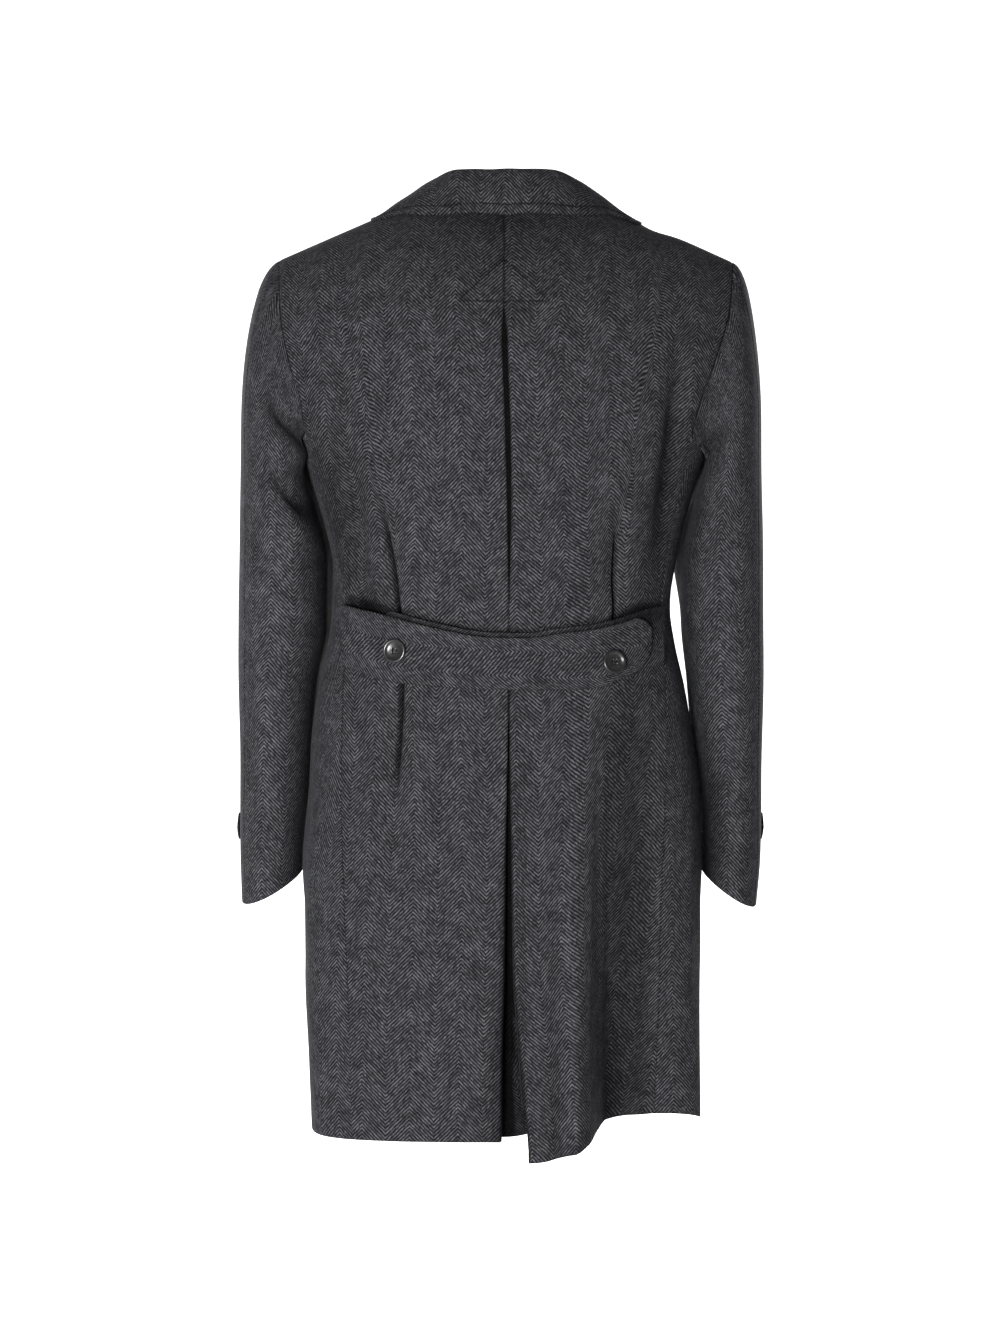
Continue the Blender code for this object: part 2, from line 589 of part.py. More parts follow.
def make_sleeve(side, name, loop):
    points = sleeve_points(side, loop)
    normals = grid_normals(points, ring=True)
    outward = points[-4:].mean(axis=1, keepdims=True)
    if np.sum((points[-4:] - outward) * normals[-4:]) < 0:
        normals = -normals
    round_way = unit(np.roll(points, -1, axis=1) - np.roll(points, 1, axis=1)) * SEAM_GAP
    hind, fore, count = HIND_SEAM, ROWS_ARM + COLUMNS_UNDERARM + 1, len(loop)
    for piece, places in (("_under", np.arange(hind, fore + 1)),
                          ("_top", np.arange(fore, count + hind + 1) % count)):
        outer = points[:, places].copy()
        outer[:, 0] += round_way[:, places[0]]
        outer[:, -1] -= round_way[:, places[-1]]
        cloth_wall(name + piece, outer, normals[:, places])


def across_shoulder(x, slip):
    """Point of the upper body at a signed slip past the shoulder line: back positive, front negative."""
    z = shoulder_line(x) - slip ** 2
    y = np.where(slip >= 0, body_y(x, z, BACK), body_y(x, z, FRONT))
    return stack(x, y, z)


def make_collar():
    """The roll is tighter on the right side of the neck than on the left."""
    reach = np.linspace(-1, 1, COLLAR_COLUMNS)
    side, place = np.where(reach < 0, RIGHT, LEFT), np.abs(reach)

    def at(column):
        return read(COLLAR, column, place, "reach")

    seam_x, seam_z = side * at("seam_x"), at("seam_z")
    shoulder = COLLAR["reach"][3]
    seam_y = np.where(place <= shoulder, body_y(seam_x, seam_z, BACK), body_y(seam_x, seam_z, FRONT))
    seam = stack(seam_x, seam_y, seam_z)
    way = np.gradient(seam, axis=0)
    outward = unit(stack(-way[:, 1], way[:, 0], 0 * way[:, 0]))
    outward = outward * np.sign(np.sum(outward * stack(seam_x, seam_y, 0), axis=1, keepdims=True) + 1e-9)
    base = seam - outward * (CLOTH + STAND_INSET) + np.array([0, 0, STAND_INSET / 2])
    up = stack(0 * reach, 0 * reach, at("roll_up"))
    tight = (reach < 0) * ease(place / 0.25) * ease((0.80 - place) / 0.20)
    out = outward * (at("roll_out") * mix(1.0, RIGHT_ROLL, tight))[:, None]
    slip = np.sign(at("edge_drop")) * np.sqrt(np.abs(at("edge_drop")))
    edge, _ = lay_on(across_shoulder, side * at("edge_x"), slip, np.full(len(reach), CLOTH + COLLAR_LIFT))
    bulge = (outward + np.array([0, 0, 0.7])) * at("bulge")[:, None]
    points = np.array([mix(base + out * o + up * u, edge, fall) + bulge * b
                       for o, u, fall, b in zip(*COLLAR_SECTION.values())])
    normals = grid_normals(points)
    if normals[-1, len(reach) // 2, 1] < 0:
        normals = -normals
    cloth_wall("collar", points, normals)


def make_lapel(side, name):
    along, share = np.meshgrid(np.linspace(LAPEL["along"][0], LAPEL["along"][-1], 19), np.linspace(0, 1, 8))
    width, rise = read(LAPEL, "width", along, "along"), read(LAPEL, "rise", along, "along")
    roll_z = mix(NECK_POINT, BREAK, along)
    x = front_edge_x(roll_z) + ROLL_GAP + share * width
    z = roll_z + share ** 2 * rise

    def panel(own_x, height):
        return stack(side * own_x, body_y(side * own_x, height, FRONT)
                     - lap_lift(side, side * own_x, height), height)

    sheet(name, panel, x, z, CLOTH + LAPEL_GAP)


def back_surface(x, z):
    return stack(x, body_y(x, z, BACK), z)


def belt_grid(ends, rise):
    """Grid of the belt from its sewn end to its rounded end."""
    u, w = np.meshgrid(np.linspace(0, 1, 19), np.linspace(0, 1, 5))
    start, tip = ends
    x = mix(start, tip + np.sign(start - tip) * BELT_ROUNDING * np.abs(2 * w - 1) ** 3, u)
    return x, mix(read(BELT, "bottom", x, "across") + rise / 2, read(BELT, "top", x, "across") + rise, w)


def make_belt():
    x, z = belt_grid(BELT_UNDER_ENDS, BELT_UNDER_RISE)
    sheet("belt_under", back_surface, x, z, BELT_UNDER_LIFT)
    x, z = belt_grid(BELT_OVER_ENDS, 0.0)
    sheet("belt_over", back_surface, x, z, BELT_OVER_LIFT)


def make_underlay():
    """The strip behind the inverted pleat, set further in where the pleat opens."""
    heights = np.concatenate([BODY_ROWS, UNDERLAY_TOP])
    share, z = np.meshgrid(np.linspace(0, 1, 7), heights)
    left, right = pleat_edge(LEFT, z), pleat_edge(RIGHT, z)
    x = mix(right - UNDERLAY_RIGHT, left + UNDERLAY_LEFT, share)
    deep = ease((SKIRT_FOLD_TOP - z) / (SKIRT_FOLD_TOP - HEM_FRONT)) * UNDERLAY_DEPTH
    y = body_y(x, z, BACK) - CLOTH - UNDERLAY_GAP - deep
    points = stack(x, y, np.where(z == BODY_ROWS[0], UNDERLAY_HEM, z))
    normals = grid_normals(points)
    if normals[0, 0, 1] < 0:
        normals = -normals
    cloth_wall("pleat_underlay", points, normals)


def make_button(name, seat, normal):
    """A turned button with a raised rim, standing on its seat."""
    profile = stack(BUTTON_PROFILE["radius"] * BUTTON_RADIUS, 0.0, BUTTON_PROFILE["height"] * BUTTON_HEIGHT)
    mesh = bpy.data.meshes.new(name)
    mesh.from_pydata(profile.tolist(), [(i, i + 1) for i in range(len(profile) - 1)], [])
    button = bpy.data.objects.new(name, mesh)
    turned = button.modifiers.new("Turned", "SCREW")
    turned.steps = turned.render_steps = BUTTON_SIDES
    turned.use_merge_vertices = True
    turned.merge_threshold = 0.00005
    button.data.materials.append(finish(name, BUTTON_BLACK, 0.25))
    bpy.data.collections["double_breasted_coat"].objects.link(button)
    z_axis = unit(np.asarray(normal, dtype=float))
    x_axis = unit(np.cross((0.0, 0.0, 1.0), z_axis))
    y_axis = np.cross(z_axis, x_axis)
    rows = np.eye(4)
    rows[:3] = np.column_stack([x_axis, y_axis, z_axis, seat])
    button.matrix_world = Matrix(rows.tolist())


def make_buttons():
    for name, (x, z) in BELT_BUTTONS.items():
        make_button(name, *lay_on(back_surface, np.array(x), np.array(z), BELT_OVER_LIFT + SEAM_GAP * 2))
    number = 0
    for height in FRONT_BUTTON_ROWS:
        for x in (FRONT_BUTTON_X, -FRONT_BUTTON_X):
            number += 1
            seat, normal = lay_on(left_front, np.array(x), np.array(height), LAY_GAP)
            make_button("front_button_%d" % number, seat, normal)


def left_front(x, z):
    return stack(x, body_y(x, z, FRONT) - lap_lift(LEFT, x, z), z)


def make_cuffs():
    u, w = np.meshgrid(np.linspace(0, 1, 9), np.linspace(0, 1, 3))
    turn = np.radians(mix(TAB_TURNS[0], TAB_TURNS[1] - TAB_TAPER * np.abs(2 * w - 1), u))
    ring = mix(TAB_RINGS[0], TAB_RINGS[1], w)
    spot = np.radians(TAB_BUTTON[0]), np.array(TAB_BUTTON[1])
    for side, word in ((LEFT, "left"), (RIGHT, "right")):
        def cuff(first, second):
            return sleeve_ring(side, second, first)

        middle = cuff(np.array([0.0, math.pi]), np.full(2, TAB_BUTTON[1])).mean(axis=0)
        points, normals = lay_on(cuff, turn, ring, np.full(ring.shape, CLOTH + LAY_GAP * 1.5), middle)
        cloth_wall("cuff_tab_" + word, points, normals)
        make_button("cuff_button_" + word, *lay_on(cuff, *spot, CLOTH + LAY_GAP * 2.5, middle))


def build():
    for old in list(bpy.data.objects):
        bpy.data.objects.remove(old, do_unlink=True)
    group = bpy.data.collections.new("double_breasted_coat")
    bpy.context.scene.collection.children.link(group)
    for side, word in ((LEFT, "left"), (RIGHT, "right")):
        back_arm = make_back(side, "back_" + word)
        under_arm, front_arm = make_front(side, "front_" + word)
        loop = np.concatenate([back_arm[::-1], under_arm[1:], front_arm[1:-1]])
        make_sleeve(side, "sleeve_" + word, loop)
        make_lapel(side, "lapel_" + word)
    make_underlay()
    make_collar()
    make_belt()
    make_buttons()
    make_cuffs()


build()
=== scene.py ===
# %% [markdown]
# # A double-breasted wool overcoat, seen from behind
# The coat is filled out as if worn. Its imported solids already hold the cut: two back panels with an
# inverted pleat, two lapped fronts, two-piece sleeves, a collar, lapels, a half belt and buttons.
# This lesson lays a thin, creased skin of herringbone cloth over each solid, and turns each button
# with its rim, dish, holes and thread. Nothing of the frame is moved: every skin is worked out from
# the same seams, rings and folds as the solid that it stands for.

# %% Load the frame
import json
import math

import bpy
import numpy as np
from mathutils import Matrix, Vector
from mathutils.bvhtree import BVHTree
from mathutils.kdtree import KDTree

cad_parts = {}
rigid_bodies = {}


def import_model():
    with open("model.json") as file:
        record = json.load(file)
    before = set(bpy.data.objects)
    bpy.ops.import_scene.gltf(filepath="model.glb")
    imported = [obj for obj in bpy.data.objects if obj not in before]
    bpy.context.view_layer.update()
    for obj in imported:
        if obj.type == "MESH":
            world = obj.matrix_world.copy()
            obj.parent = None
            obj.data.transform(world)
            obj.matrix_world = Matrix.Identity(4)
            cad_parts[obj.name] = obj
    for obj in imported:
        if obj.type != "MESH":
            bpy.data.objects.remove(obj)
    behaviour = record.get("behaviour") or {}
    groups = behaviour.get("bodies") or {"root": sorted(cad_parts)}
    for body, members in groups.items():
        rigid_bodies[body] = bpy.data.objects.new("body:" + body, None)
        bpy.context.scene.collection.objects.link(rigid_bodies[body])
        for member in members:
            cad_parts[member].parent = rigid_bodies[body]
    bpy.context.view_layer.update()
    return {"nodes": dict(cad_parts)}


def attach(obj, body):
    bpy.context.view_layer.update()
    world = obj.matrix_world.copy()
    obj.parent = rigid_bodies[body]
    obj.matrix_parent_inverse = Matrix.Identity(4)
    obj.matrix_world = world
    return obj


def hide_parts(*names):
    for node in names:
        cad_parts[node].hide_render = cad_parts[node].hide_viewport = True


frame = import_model()
print("frame:", len(frame["nodes"]), "solids")

# %% [markdown]
# ## Curves from short tables
# A tailor keeps a coat's shape as a few measures at a few heights. Each table below has named
# columns, and a smooth curve that never overshoots joins its rows. With numpy, one call gives the
# curve at every point of a grid at once.

# %% Tables and curves
LEFT, RIGHT = 1, -1          # the wearer's sides; +X is the wearer's left
BACK, FRONT = 1, -1          # +Y comes out of the back


def table(columns, rows):
    values = np.array(rows, dtype=float)
    return {name: values[:, place] for place, name in enumerate(columns.split())}


def spline(keys, values, at):
    """Smooth curve through a table's points that never overshoots them, held level past its ends."""
    at = np.clip(at, keys[0], keys[-1])
    rise = np.diff(values) / np.diff(keys)
    same_way = rise[:-1] * rise[1:] > 0
    even = 2 * rise[:-1] * rise[1:] / np.where(same_way, rise[:-1] + rise[1:], 1.0)
    slopes = np.concatenate([rise[:1], np.where(same_way, even, 0.0), rise[-1:]])
    k = np.clip(np.searchsorted(keys, at) - 1, 0, len(keys) - 2)
    step = keys[k + 1] - keys[k]
    t = (at - keys[k]) / step
    start = values[k] * (1 + 2 * t) + slopes[k] * step * t
    end = values[k + 1] * (3 - 2 * t) - slopes[k + 1] * step * (1 - t)
    return start * (1 - t) ** 2 + end * t ** 2


def read(tab, column, at, key="height"):
    return spline(tab[key], tab[column], at)


def mix(a, b, t):
    return a + (b - a) * t


def ease(t):
    t = np.clip(t, 0.0, 1.0)
    return t * t * (3 - 2 * t)


def stack(x, y, z):
    return np.stack(np.broadcast_arrays(x, y, z), axis=-1).astype(float)


def unit(v):
    return v / np.maximum(np.linalg.norm(v, axis=-1, keepdims=True), 1e-12)


print("curves: half way up a straight table reads", spline(np.array([0, 1]), np.array([0.0, 1.0]), 0.5))

# %% [markdown]
# ## The body inside the coat
# Every height of the coat is a rounded rectangle, a superellipse, with its own half widths and
# depths. The squareness is its power: 2 gives an ellipse, and the boxier skirt has nearly 4. Over
# the shoulders the section closes in a quarter circle, so the back rolls up to the neck.

# %% Measures of the body
SEAM_GAP = -0.0004           # the skins reach over each other by a hair at the seams
NECK_HALF = 0.085            # half the width of the neck
NECK_TOP = 0.020             # height of the shoulders' line at the middle of the neck
NECK_POINT = 0.002           # height of the shoulder seams' inner ends
NECK_BACK = -0.012           # height of the neckline at the centre back
SHOULDER_HALF = 0.2295       # half the width between the shoulder seams' outer ends
SHOULDER_POINT = {LEFT: -0.060, RIGHT: -0.062}   # heights of the shoulder seams' outer ends
SHOULDER_DIP, DIP_PLACE, DIP_WIDTH = 0.004, 0.147, 0.020   # beside the collar, on the right
ROLL_CENTRE = 0.22           # height of the roll over the shoulders, at the neck
ROLL_EDGE = 0.10             # and at the armhole
FLAT_HIP = 0.06              # from the centre back to where the right hip is flat

BODY = table("height left right back back_right front squareness", [
    (-0.940, 0.1970, 0.1990, 0.113, 0.058, 0.148, 3.8),
    (-0.860, 0.2015, 0.1990, 0.116, 0.068, 0.147, 3.5),
    (-0.780, 0.2050, 0.1980, 0.119, 0.078, 0.145, 3.2),
    (-0.680, 0.2050, 0.1980, 0.122, 0.092, 0.141, 2.9),
    (-0.600, 0.1990, 0.1940, 0.122, 0.104, 0.136, 2.6),
    (-0.540, 0.1950, 0.1870, 0.120, 0.113, 0.131, 2.4),
    (-0.490, 0.1890, 0.1800, 0.117, 0.117, 0.128, 2.3),
    (-0.450, 0.1810, 0.1714, 0.114, 0.114, 0.126, 2.3),
    (-0.420, 0.1775, 0.1675, 0.114, 0.114, 0.126, 2.3),
    (-0.370, 0.1765, 0.1730, 0.118, 0.118, 0.130, 2.3),
    (-0.330, 0.1840, 0.1810, 0.125, 0.125, 0.134, 2.3),
    (-0.270, 0.2030, 0.1990, 0.133, 0.133, 0.137, 2.3),
    (-0.200, 0.2300, 0.2280, 0.137, 0.137, 0.135, 2.3),
    (-0.100, 0.2450, 0.2450, 0.131, 0.131, 0.125, 2.3),
    (0.020, 0.2450, 0.2450, 0.120, 0.120, 0.110, 2.3),
])
print("body:", len(BODY["height"]), "sections, up to", 2000 * BODY["left"].max(), "mm wide")


# %% Surface of the body
def half_width(x, z):
    return np.where(np.asarray(x) >= 0, read(BODY, "left", z), read(BODY, "right", z))


def shoulder_dip(x):
    return SHOULDER_DIP * np.exp(-((np.asarray(x) + DIP_PLACE) / DIP_WIDTH) ** 2)


def shoulder_line(x):
    out = np.abs(x)
    neck = NECK_TOP - (NECK_TOP - NECK_POINT) * (out / NECK_HALF) ** 2
    run = (out - NECK_HALF) / (SHOULDER_HALF - NECK_HALF)
    point = np.where(np.asarray(x) >= 0, SHOULDER_POINT[LEFT], SHOULDER_POINT[RIGHT])
    return np.where(out < NECK_HALF, neck, mix(NECK_POINT, point, run)) - shoulder_dip(x)


def shoulder_round(x, z):
    height = mix(ROLL_CENTRE, ROLL_EDGE, np.clip(np.abs(x) / SHOULDER_HALF, 0, 1))
    t = np.clip((shoulder_line(x) - z) / height, 0, 1)
    return np.sqrt(1 - (1 - t) ** 2)


def back_depth(x, z):
    return mix(read(BODY, "back_right", z), read(BODY, "back", z), ease((x + FLAT_HIP) / FLAT_HIP))


def body_y(x, z, face):
    square = read(BODY, "squareness", z)
    depth = back_depth(x, z) if face == BACK else read(BODY, "front", z)
    share = np.clip(1 - (np.abs(x) / half_width(x, z)) ** square, 0, 1) ** (1 / square)
    return face * (depth * share * shoulder_round(x, z) + SEAM_GAP / 2)


def turn_of(side, x, z):
    """Angle round the body from the centre back."""
    return np.arcsin(np.clip(side * x / half_width(x, z), 0, 1) ** (read(BODY, "squareness", z) / 2))


def ring_point(side, turn, z):
    power = 2 / read(BODY, "squareness", z)
    s, c = np.sin(turn), np.cos(turn)
    x = side * np.sign(s) * half_width(side * s, z) * np.abs(s) ** power
    depth = np.where(c >= 0, back_depth(x, z), read(BODY, "front", z))
    return x, np.sign(c) * depth * np.abs(c) ** power * shoulder_round(x, z) - SEAM_GAP / 2


print("body: the back is", round(float(body_y(0.0, -0.2, BACK)), 3), "m deep between the shoulder blades")

# %% [markdown]
# ## The wool
# The cloth is a charcoal herringbone: twill lines at 45 degrees that turn back in columns about
# 24 mm wide, flecked with paler wool. A picture could be wrapped round the coat, but it would
# stretch. Here each skin carries its own coordinates, metres across and along the cloth, in a mesh
# attribute called weave, so the twill follows every seam and fold at its true size. A ping-pong of
# the across coordinate makes the zigzag, a little noise lets the lines wander, and small Voronoi
# cells laid along the twill give every fleck a tone of its own. Sheen gives the nap its pale bloom at
# grazing angles. A second attribute holds painted shade: it darkens the cloth at the bottom of slits
# and pleats that are deeper than their skin can show, and where it is below zero it paints light
# onto the cloth.

# %% Material helpers
class Nodes:
    """Short calls for building a material's node tree."""

    def __init__(self, name):
        self.material = bpy.data.materials.new(name)
        self.material.use_nodes = True
        self.tree = self.material.node_tree
        self.shader = self.tree.nodes["Principled BSDF"]

    def add(self, kind, inputs=(), **settings):
        node = self.tree.nodes.new(kind)
        for key, value in settings.items():
            setattr(node, key, value)
        for place, value in dict(inputs).items():
            self.feed(node.inputs[place], value)
        return node

    def feed(self, socket, value):
        if isinstance(value, bpy.types.NodeSocket):
            self.tree.links.new(value, socket)
        else:
            socket.default_value = value

    def maths(self, operation, *values):
        return self.add("ShaderNodeMath", dict(enumerate(values)), operation=operation).outputs[0]

    def noise(self, vector, scale, detail=2.0, roughness=0.5):
        inputs = {"Vector": vector, "Scale": scale, "Detail": detail, "Roughness": roughness}
        return self.add("ShaderNodeTexNoise", inputs).outputs["Fac"]

    def ramp(self, value, stops):
        node = self.add("ShaderNodeValToRGB", {"Fac": value})
        while len(node.color_ramp.elements) < len(stops):
            node.color_ramp.elements.new(0.5)
        for element, (place, colour) in zip(node.color_ramp.elements, stops):
            element.position = place
            element.color = (*colour, 1.0)
        return node.outputs["Color"]

    def set(self, **values):
        for name, value in values.items():
            self.feed(self.shader.inputs[name.replace("_", " ")], value)


print("material helpers are ready for Blender", bpy.app.version_string)

# %% Herringbone wool
WEAVE_COLUMN = 0.024         # width of a column of the herringbone
TWILL_PITCH = 0.0038         # from one twill line to the next, along the cloth
WANDER = (220.0, 0.0016)     # waves in a metre by which the lines stray, and how far they do
FLECKS = (640.0, 480.0)      # flecks in a metre, along and across the cloth
BLOTCHES = 45.0              # slow blotches in a metre
GROUND, TWILL_SHARE, FLECK_SHARE, BLOTCH_SHARE = 0.195, 0.38, 0.24, 0.20
WOOL_TONES = [(0.20, (0.0060, 0.0060, 0.0072)), (0.45, (0.0230, 0.0227, 0.0262)),
              (0.62, (0.0640, 0.0632, 0.0715)), (0.90, (0.2300, 0.2280, 0.2450))]
TWILL_BUMP = {"Strength": 0.15, "Distance": 0.0004}


def herringbone(name):
    """Charcoal herringbone in the cloth's own coordinates, with painted shade and painted light from a
    point attribute.
    """
    n = Nodes(name)
    weave = n.add("ShaderNodeAttribute", attribute_name="weave").outputs["Vector"]
    place = n.add("ShaderNodeSeparateXYZ", {0: weave})
    across, along = place.outputs["X"], place.outputs["Y"]
    waves, stray = WANDER
    wander = n.maths("MULTIPLY", n.maths("SUBTRACT", n.noise(weave, waves), 0.5), stray)
    zigzag = n.maths("PINGPONG", across, WEAVE_COLUMN)
    line = n.maths("ADD", n.maths("ADD", along, zigzag), wander)
    phase = n.maths("MULTIPLY", line, 2 * math.pi / TWILL_PITCH)
    twill = n.maths("MULTIPLY_ADD", n.maths("SINE", phase), 0.5, 0.5)
    slant = n.add("ShaderNodeCombineXYZ", {"X": n.maths("MULTIPLY", line, FLECKS[0]),
                                           "Y": n.maths("MULTIPLY", across, FLECKS[1])}).outputs[0]
    cells = n.add("ShaderNodeTexVoronoi", {"Vector": slant, "Scale": 1.0}, voronoi_dimensions="2D")
    fleck = n.add("ShaderNodeSeparateXYZ", {0: cells.outputs["Color"]}).outputs["X"]
    blotch = n.maths("SUBTRACT", n.noise(weave, BLOTCHES), 0.5)
    value = n.maths("MULTIPLY_ADD", twill, TWILL_SHARE, GROUND)
    value = n.maths("ADD", value, n.maths("MULTIPLY", fleck, FLECK_SHARE))
    value = n.maths("ADD", value, n.maths("MULTIPLY", blotch, BLOTCH_SHARE))
    colour = n.ramp(value, WOOL_TONES)
    # painted shade and light: the attribute darkens the colour, and lightens it where it is below zero
    painted_shade_and_light = n.add("ShaderNodeAttribute", attribute_name="painted_shade_and_light").outputs["Fac"]
    lit = n.maths("SUBTRACT", 1.0, painted_shade_and_light)
    colour = n.add("ShaderNodeVectorMath", {0: colour, 1: lit}, operation="MULTIPLY").outputs[0]
    bump = n.add("ShaderNodeBump", {"Height": twill, **TWILL_BUMP})
    n.set(Base_Color=colour, Roughness=0.88, Normal=bump.outputs[0])
    n.set(Specular_IOR_Level=0.10, Sheen_Weight=0.05, Sheen_Roughness=0.5)
    n.set(Sheen_Tint=(0.80, 0.82, 0.90, 1.0))
    return n.material


WOOL = herringbone("herringbone_wool")
print("wool: twill of", TWILL_PITCH * 1000, "mm in columns of", WEAVE_COLUMN * 1000, "mm")

# %% [markdown]
# ## From a grid of points to a piece of cloth
# Each skin starts as a grid of points on its outer face. Blender's Solidify could give it
# thickness, but its rims would be square. Here the two faces draw together over the last two
# millimetres and share one line of points at the edge, so every hem and seam is softly rounded and
# the mesh is closed. A k-d tree finds how far each point lies from the nearest edge, whatever the
# outline. Where two pieces meet, their rounded edges leave the fine groove that a seam has.

# %% Grids of points
CLOTH = 0.0020               # thickness of the cloth
EDGE_LINES = np.array([0.0003, 0.0009, 0.0018, 0.0030])   # close grid lines beside an edge


def spread(length, step, start=True, end=True):
    """Grid lines from 0 to 1, evenly spaced along the length and closer together at its ends."""
    near = EDGE_LINES / length
    even = np.linspace(0, 1, max(int(round(length / step)), 3) + 1)
    low = np.concatenate([[0.0], near]) if start else np.array([0.0])
    high = np.concatenate([1 - near[::-1], [1.0]]) if end else np.array([1.0])
    room = step / length * 0.4
    return np.concatenate([low, even[(even > low[-1] + room) & (even < high[0] - room)], high])


def lines(across, along):
    """A grid of shares from the length and step of its lines each way."""
    return np.meshgrid(spread(*across), spread(*along))


def grid_normals(points):
    return unit(np.cross(np.gradient(points, axis=1), np.gradient(points, axis=0)))


def arc(points, axis):
    """Lengths along a grid's lines from the first one."""
    step = np.linalg.norm(np.diff(points, axis=axis), axis=-1)
    return np.concatenate([np.zeros_like(np.take(step, [0], axis)), np.cumsum(step, axis)], axis)


def facing(points, outward):
    """Normals of a grid, turned to the outward side."""
    normals = grid_normals(points)
    return normals if np.sum(normals * outward) >= 0 else -normals


def raised(points, relief, outward):
    return points + facing(points, outward) * np.asarray(relief)[..., None]


print("grids: 10 cm at steps of 4 mm have", len(spread(0.10, 0.004)), "lines")

# %% Close a grid into a skin
EDGE_ROUND = 0.0024          # the two faces draw together over this width


def rim_of(quads):
    """Points on the edge of a set of faces."""
    edges = np.sort(np.concatenate([quads[:, [k, (k + 1) % 4]] for k in range(4)]), axis=1)
    pairs, uses = np.unique(edges, axis=0, return_counts=True)
    return np.unique(pairs[uses == 1])


def edge_gaps(flat, used, rim):
    """Distance of the used points from the nearest point on the edge."""
    tree = KDTree(len(rim))
    for place in rim:
        tree.insert(flat[place], place)
    tree.balance()
    return np.array([tree.find(flat[place])[2] for place in used])


def skin(name, points, outward, cells):
    """Close a grid into a mesh.

    Also returns the grid's faces, its used points, which of them lie inside the edge, and their gaps to it.
    """
    rows, columns = points.shape[:2]
    raw = grid_normals(points)
    away = np.sum(raw * outward) >= 0
    number = np.arange(rows * columns).reshape(rows, columns)
    quads = np.stack([number[:-1, :-1], number[:-1, 1:], number[1:, 1:], number[1:, :-1]], axis=-1)
    quads = quads[np.ones(quads.shape[:2], dtype=bool) if cells is None else cells]
    rim, used = rim_of(quads), np.unique(quads)
    flat, normals = points.reshape(-1, 3), (raw if away else -raw).reshape(-1, 3)
    gaps = edge_gaps(flat, used, rim)
    curve = np.clip(1 - gaps / EDGE_ROUND, 0, 1)
    drop = (CLOTH / 2 * (1 - np.sqrt(1 - curve ** 2)))[:, None]
    inside = ~np.isin(used, rim)
    outer = flat[used] - normals[used] * drop
    inner = (flat[used] - normals[used] * (CLOTH - drop))[inside]
    to_outer = np.zeros(len(flat), dtype=int)
    to_outer[used] = np.arange(len(used))
    to_inner = to_outer.copy()
    to_inner[used[inside]] = len(used) + np.arange(inside.sum())
    front, back = to_outer[quads], to_inner[quads][:, ::-1]
    if not away:
        front, back = front[:, ::-1], back[:, ::-1]
    mesh = bpy.data.meshes.new(name)
    mesh.from_pydata(np.concatenate([outer, inner]).tolist(), [], np.concatenate([front, back]).tolist())
    mesh.shade_smooth()
    return mesh, quads, used, inside, gaps


print("skins:", CLOTH * 1000, "mm thick, with edges rounded over", EDGE_ROUND * 1000, "mm")

# %% [markdown]
# ## Pieces, their painted shade and their sizes
# Every piece rides on the coat's one body and stands for its solid, which is then hidden. A skin also
# carries its weave and its painted shade as attributes of its points, and its flat size is printed.
# That size could be typed in, but it is measured along the grid's own lines, so that it stays true
# when a seam is moved.

# %% Pieces of the coat
made = {}


def add_piece(mesh, material, slot, *nodes):
    """Put a mesh in the scene on the coat's one body, standing for its solids."""
    piece = bpy.data.objects.new(mesh.name, mesh)
    bpy.context.scene.collection.objects.link(piece)
    mesh.materials.append(material)
    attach(piece, "root")
    if nodes:
        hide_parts(*nodes)
    made[mesh.name] = piece
    return piece


def paint(mesh, name, kind, field, values):
    mesh.attributes.new(name, kind, "POINT").data.foreach_set(field, values.ravel())


print("pieces made so far:", len(made))

# %% Cloth pieces
SEAM_SHADE = (0.45, 0.0012)  # painted shade along the edges of the cloth, and its width
INNER_FACE = 0.30            # darkness of the cloth's inner face
LIGHTEST = -0.3              # the painted shade goes no lower than this; below zero it is painted light


def weave_at(across, along, grain):
    """The cloth's coordinates, turned by the grain's angle. Each piece lies on its own stretch of cloth."""
    turn, start = math.radians(grain), len(made)
    return stack(across * math.cos(turn) - along * math.sin(turn) + start,
                 across * math.sin(turn) + along * math.cos(turn) + start, 0.0)


def grid_area(corners):
    diagonals = corners[:, 2] - corners[:, 0], corners[:, 3] - corners[:, 1]
    return np.linalg.norm(np.cross(*diagonals), axis=1).sum() / 2


def cloth_piece(node, points, outward, cells=None, grain=0.0,
                across=None, along=None, painted_shade_and_light=0.0, seam=1.0):
    """Close a grid into a skin of cloth for one node; cells marks the grid's faces that are kept."""
    mesh, quads, used, inside, gaps = skin(node + "_cloth", points, outward, cells)
    across = (arc(points, 1) if across is None else across).reshape(-1)[used]
    along = (arc(points, 0) if along is None else along).reshape(-1)[used]
    weave = weave_at(across, along, grain)
    paint(mesh, "weave", "FLOAT_VECTOR", "vector", np.concatenate([weave, weave[inside]]))
    # painted shade and light from the piece's tables, with painted shade along its edges
    painted_shade_and_light, seam = (np.broadcast_to(share, points.shape[:2]).reshape(-1)[used] for share in (painted_shade_and_light, seam))
    strength, wide = SEAM_SHADE
    dark = 1 - (1 - np.clip(painted_shade_and_light, LIGHTEST, 1)) * (1 - strength * seam * np.exp(-(gaps / wide) ** 2))
    dark = np.concatenate([dark, np.full(inside.sum(), INNER_FACE)]).astype(np.float32)
    paint(mesh, "painted_shade_and_light", "FLOAT", "value", dark)
    piece = add_piece(mesh, WOOL, "wool", node)
    area = grid_area(points.reshape(-1, 3)[quads])
    width, length = np.ptp(across), np.ptp(along)
    size = "%3.0f x %3.0f cm, %.3f m2" % (width * 100, length * 100, area)
    print("%-20s %6d faces, %s" % (node, len(quads) * 2, size))
    return piece


print("cloth: its edges are darker by", SEAM_SHADE[0], "over", SEAM_SHADE[1] * 1000, "mm")
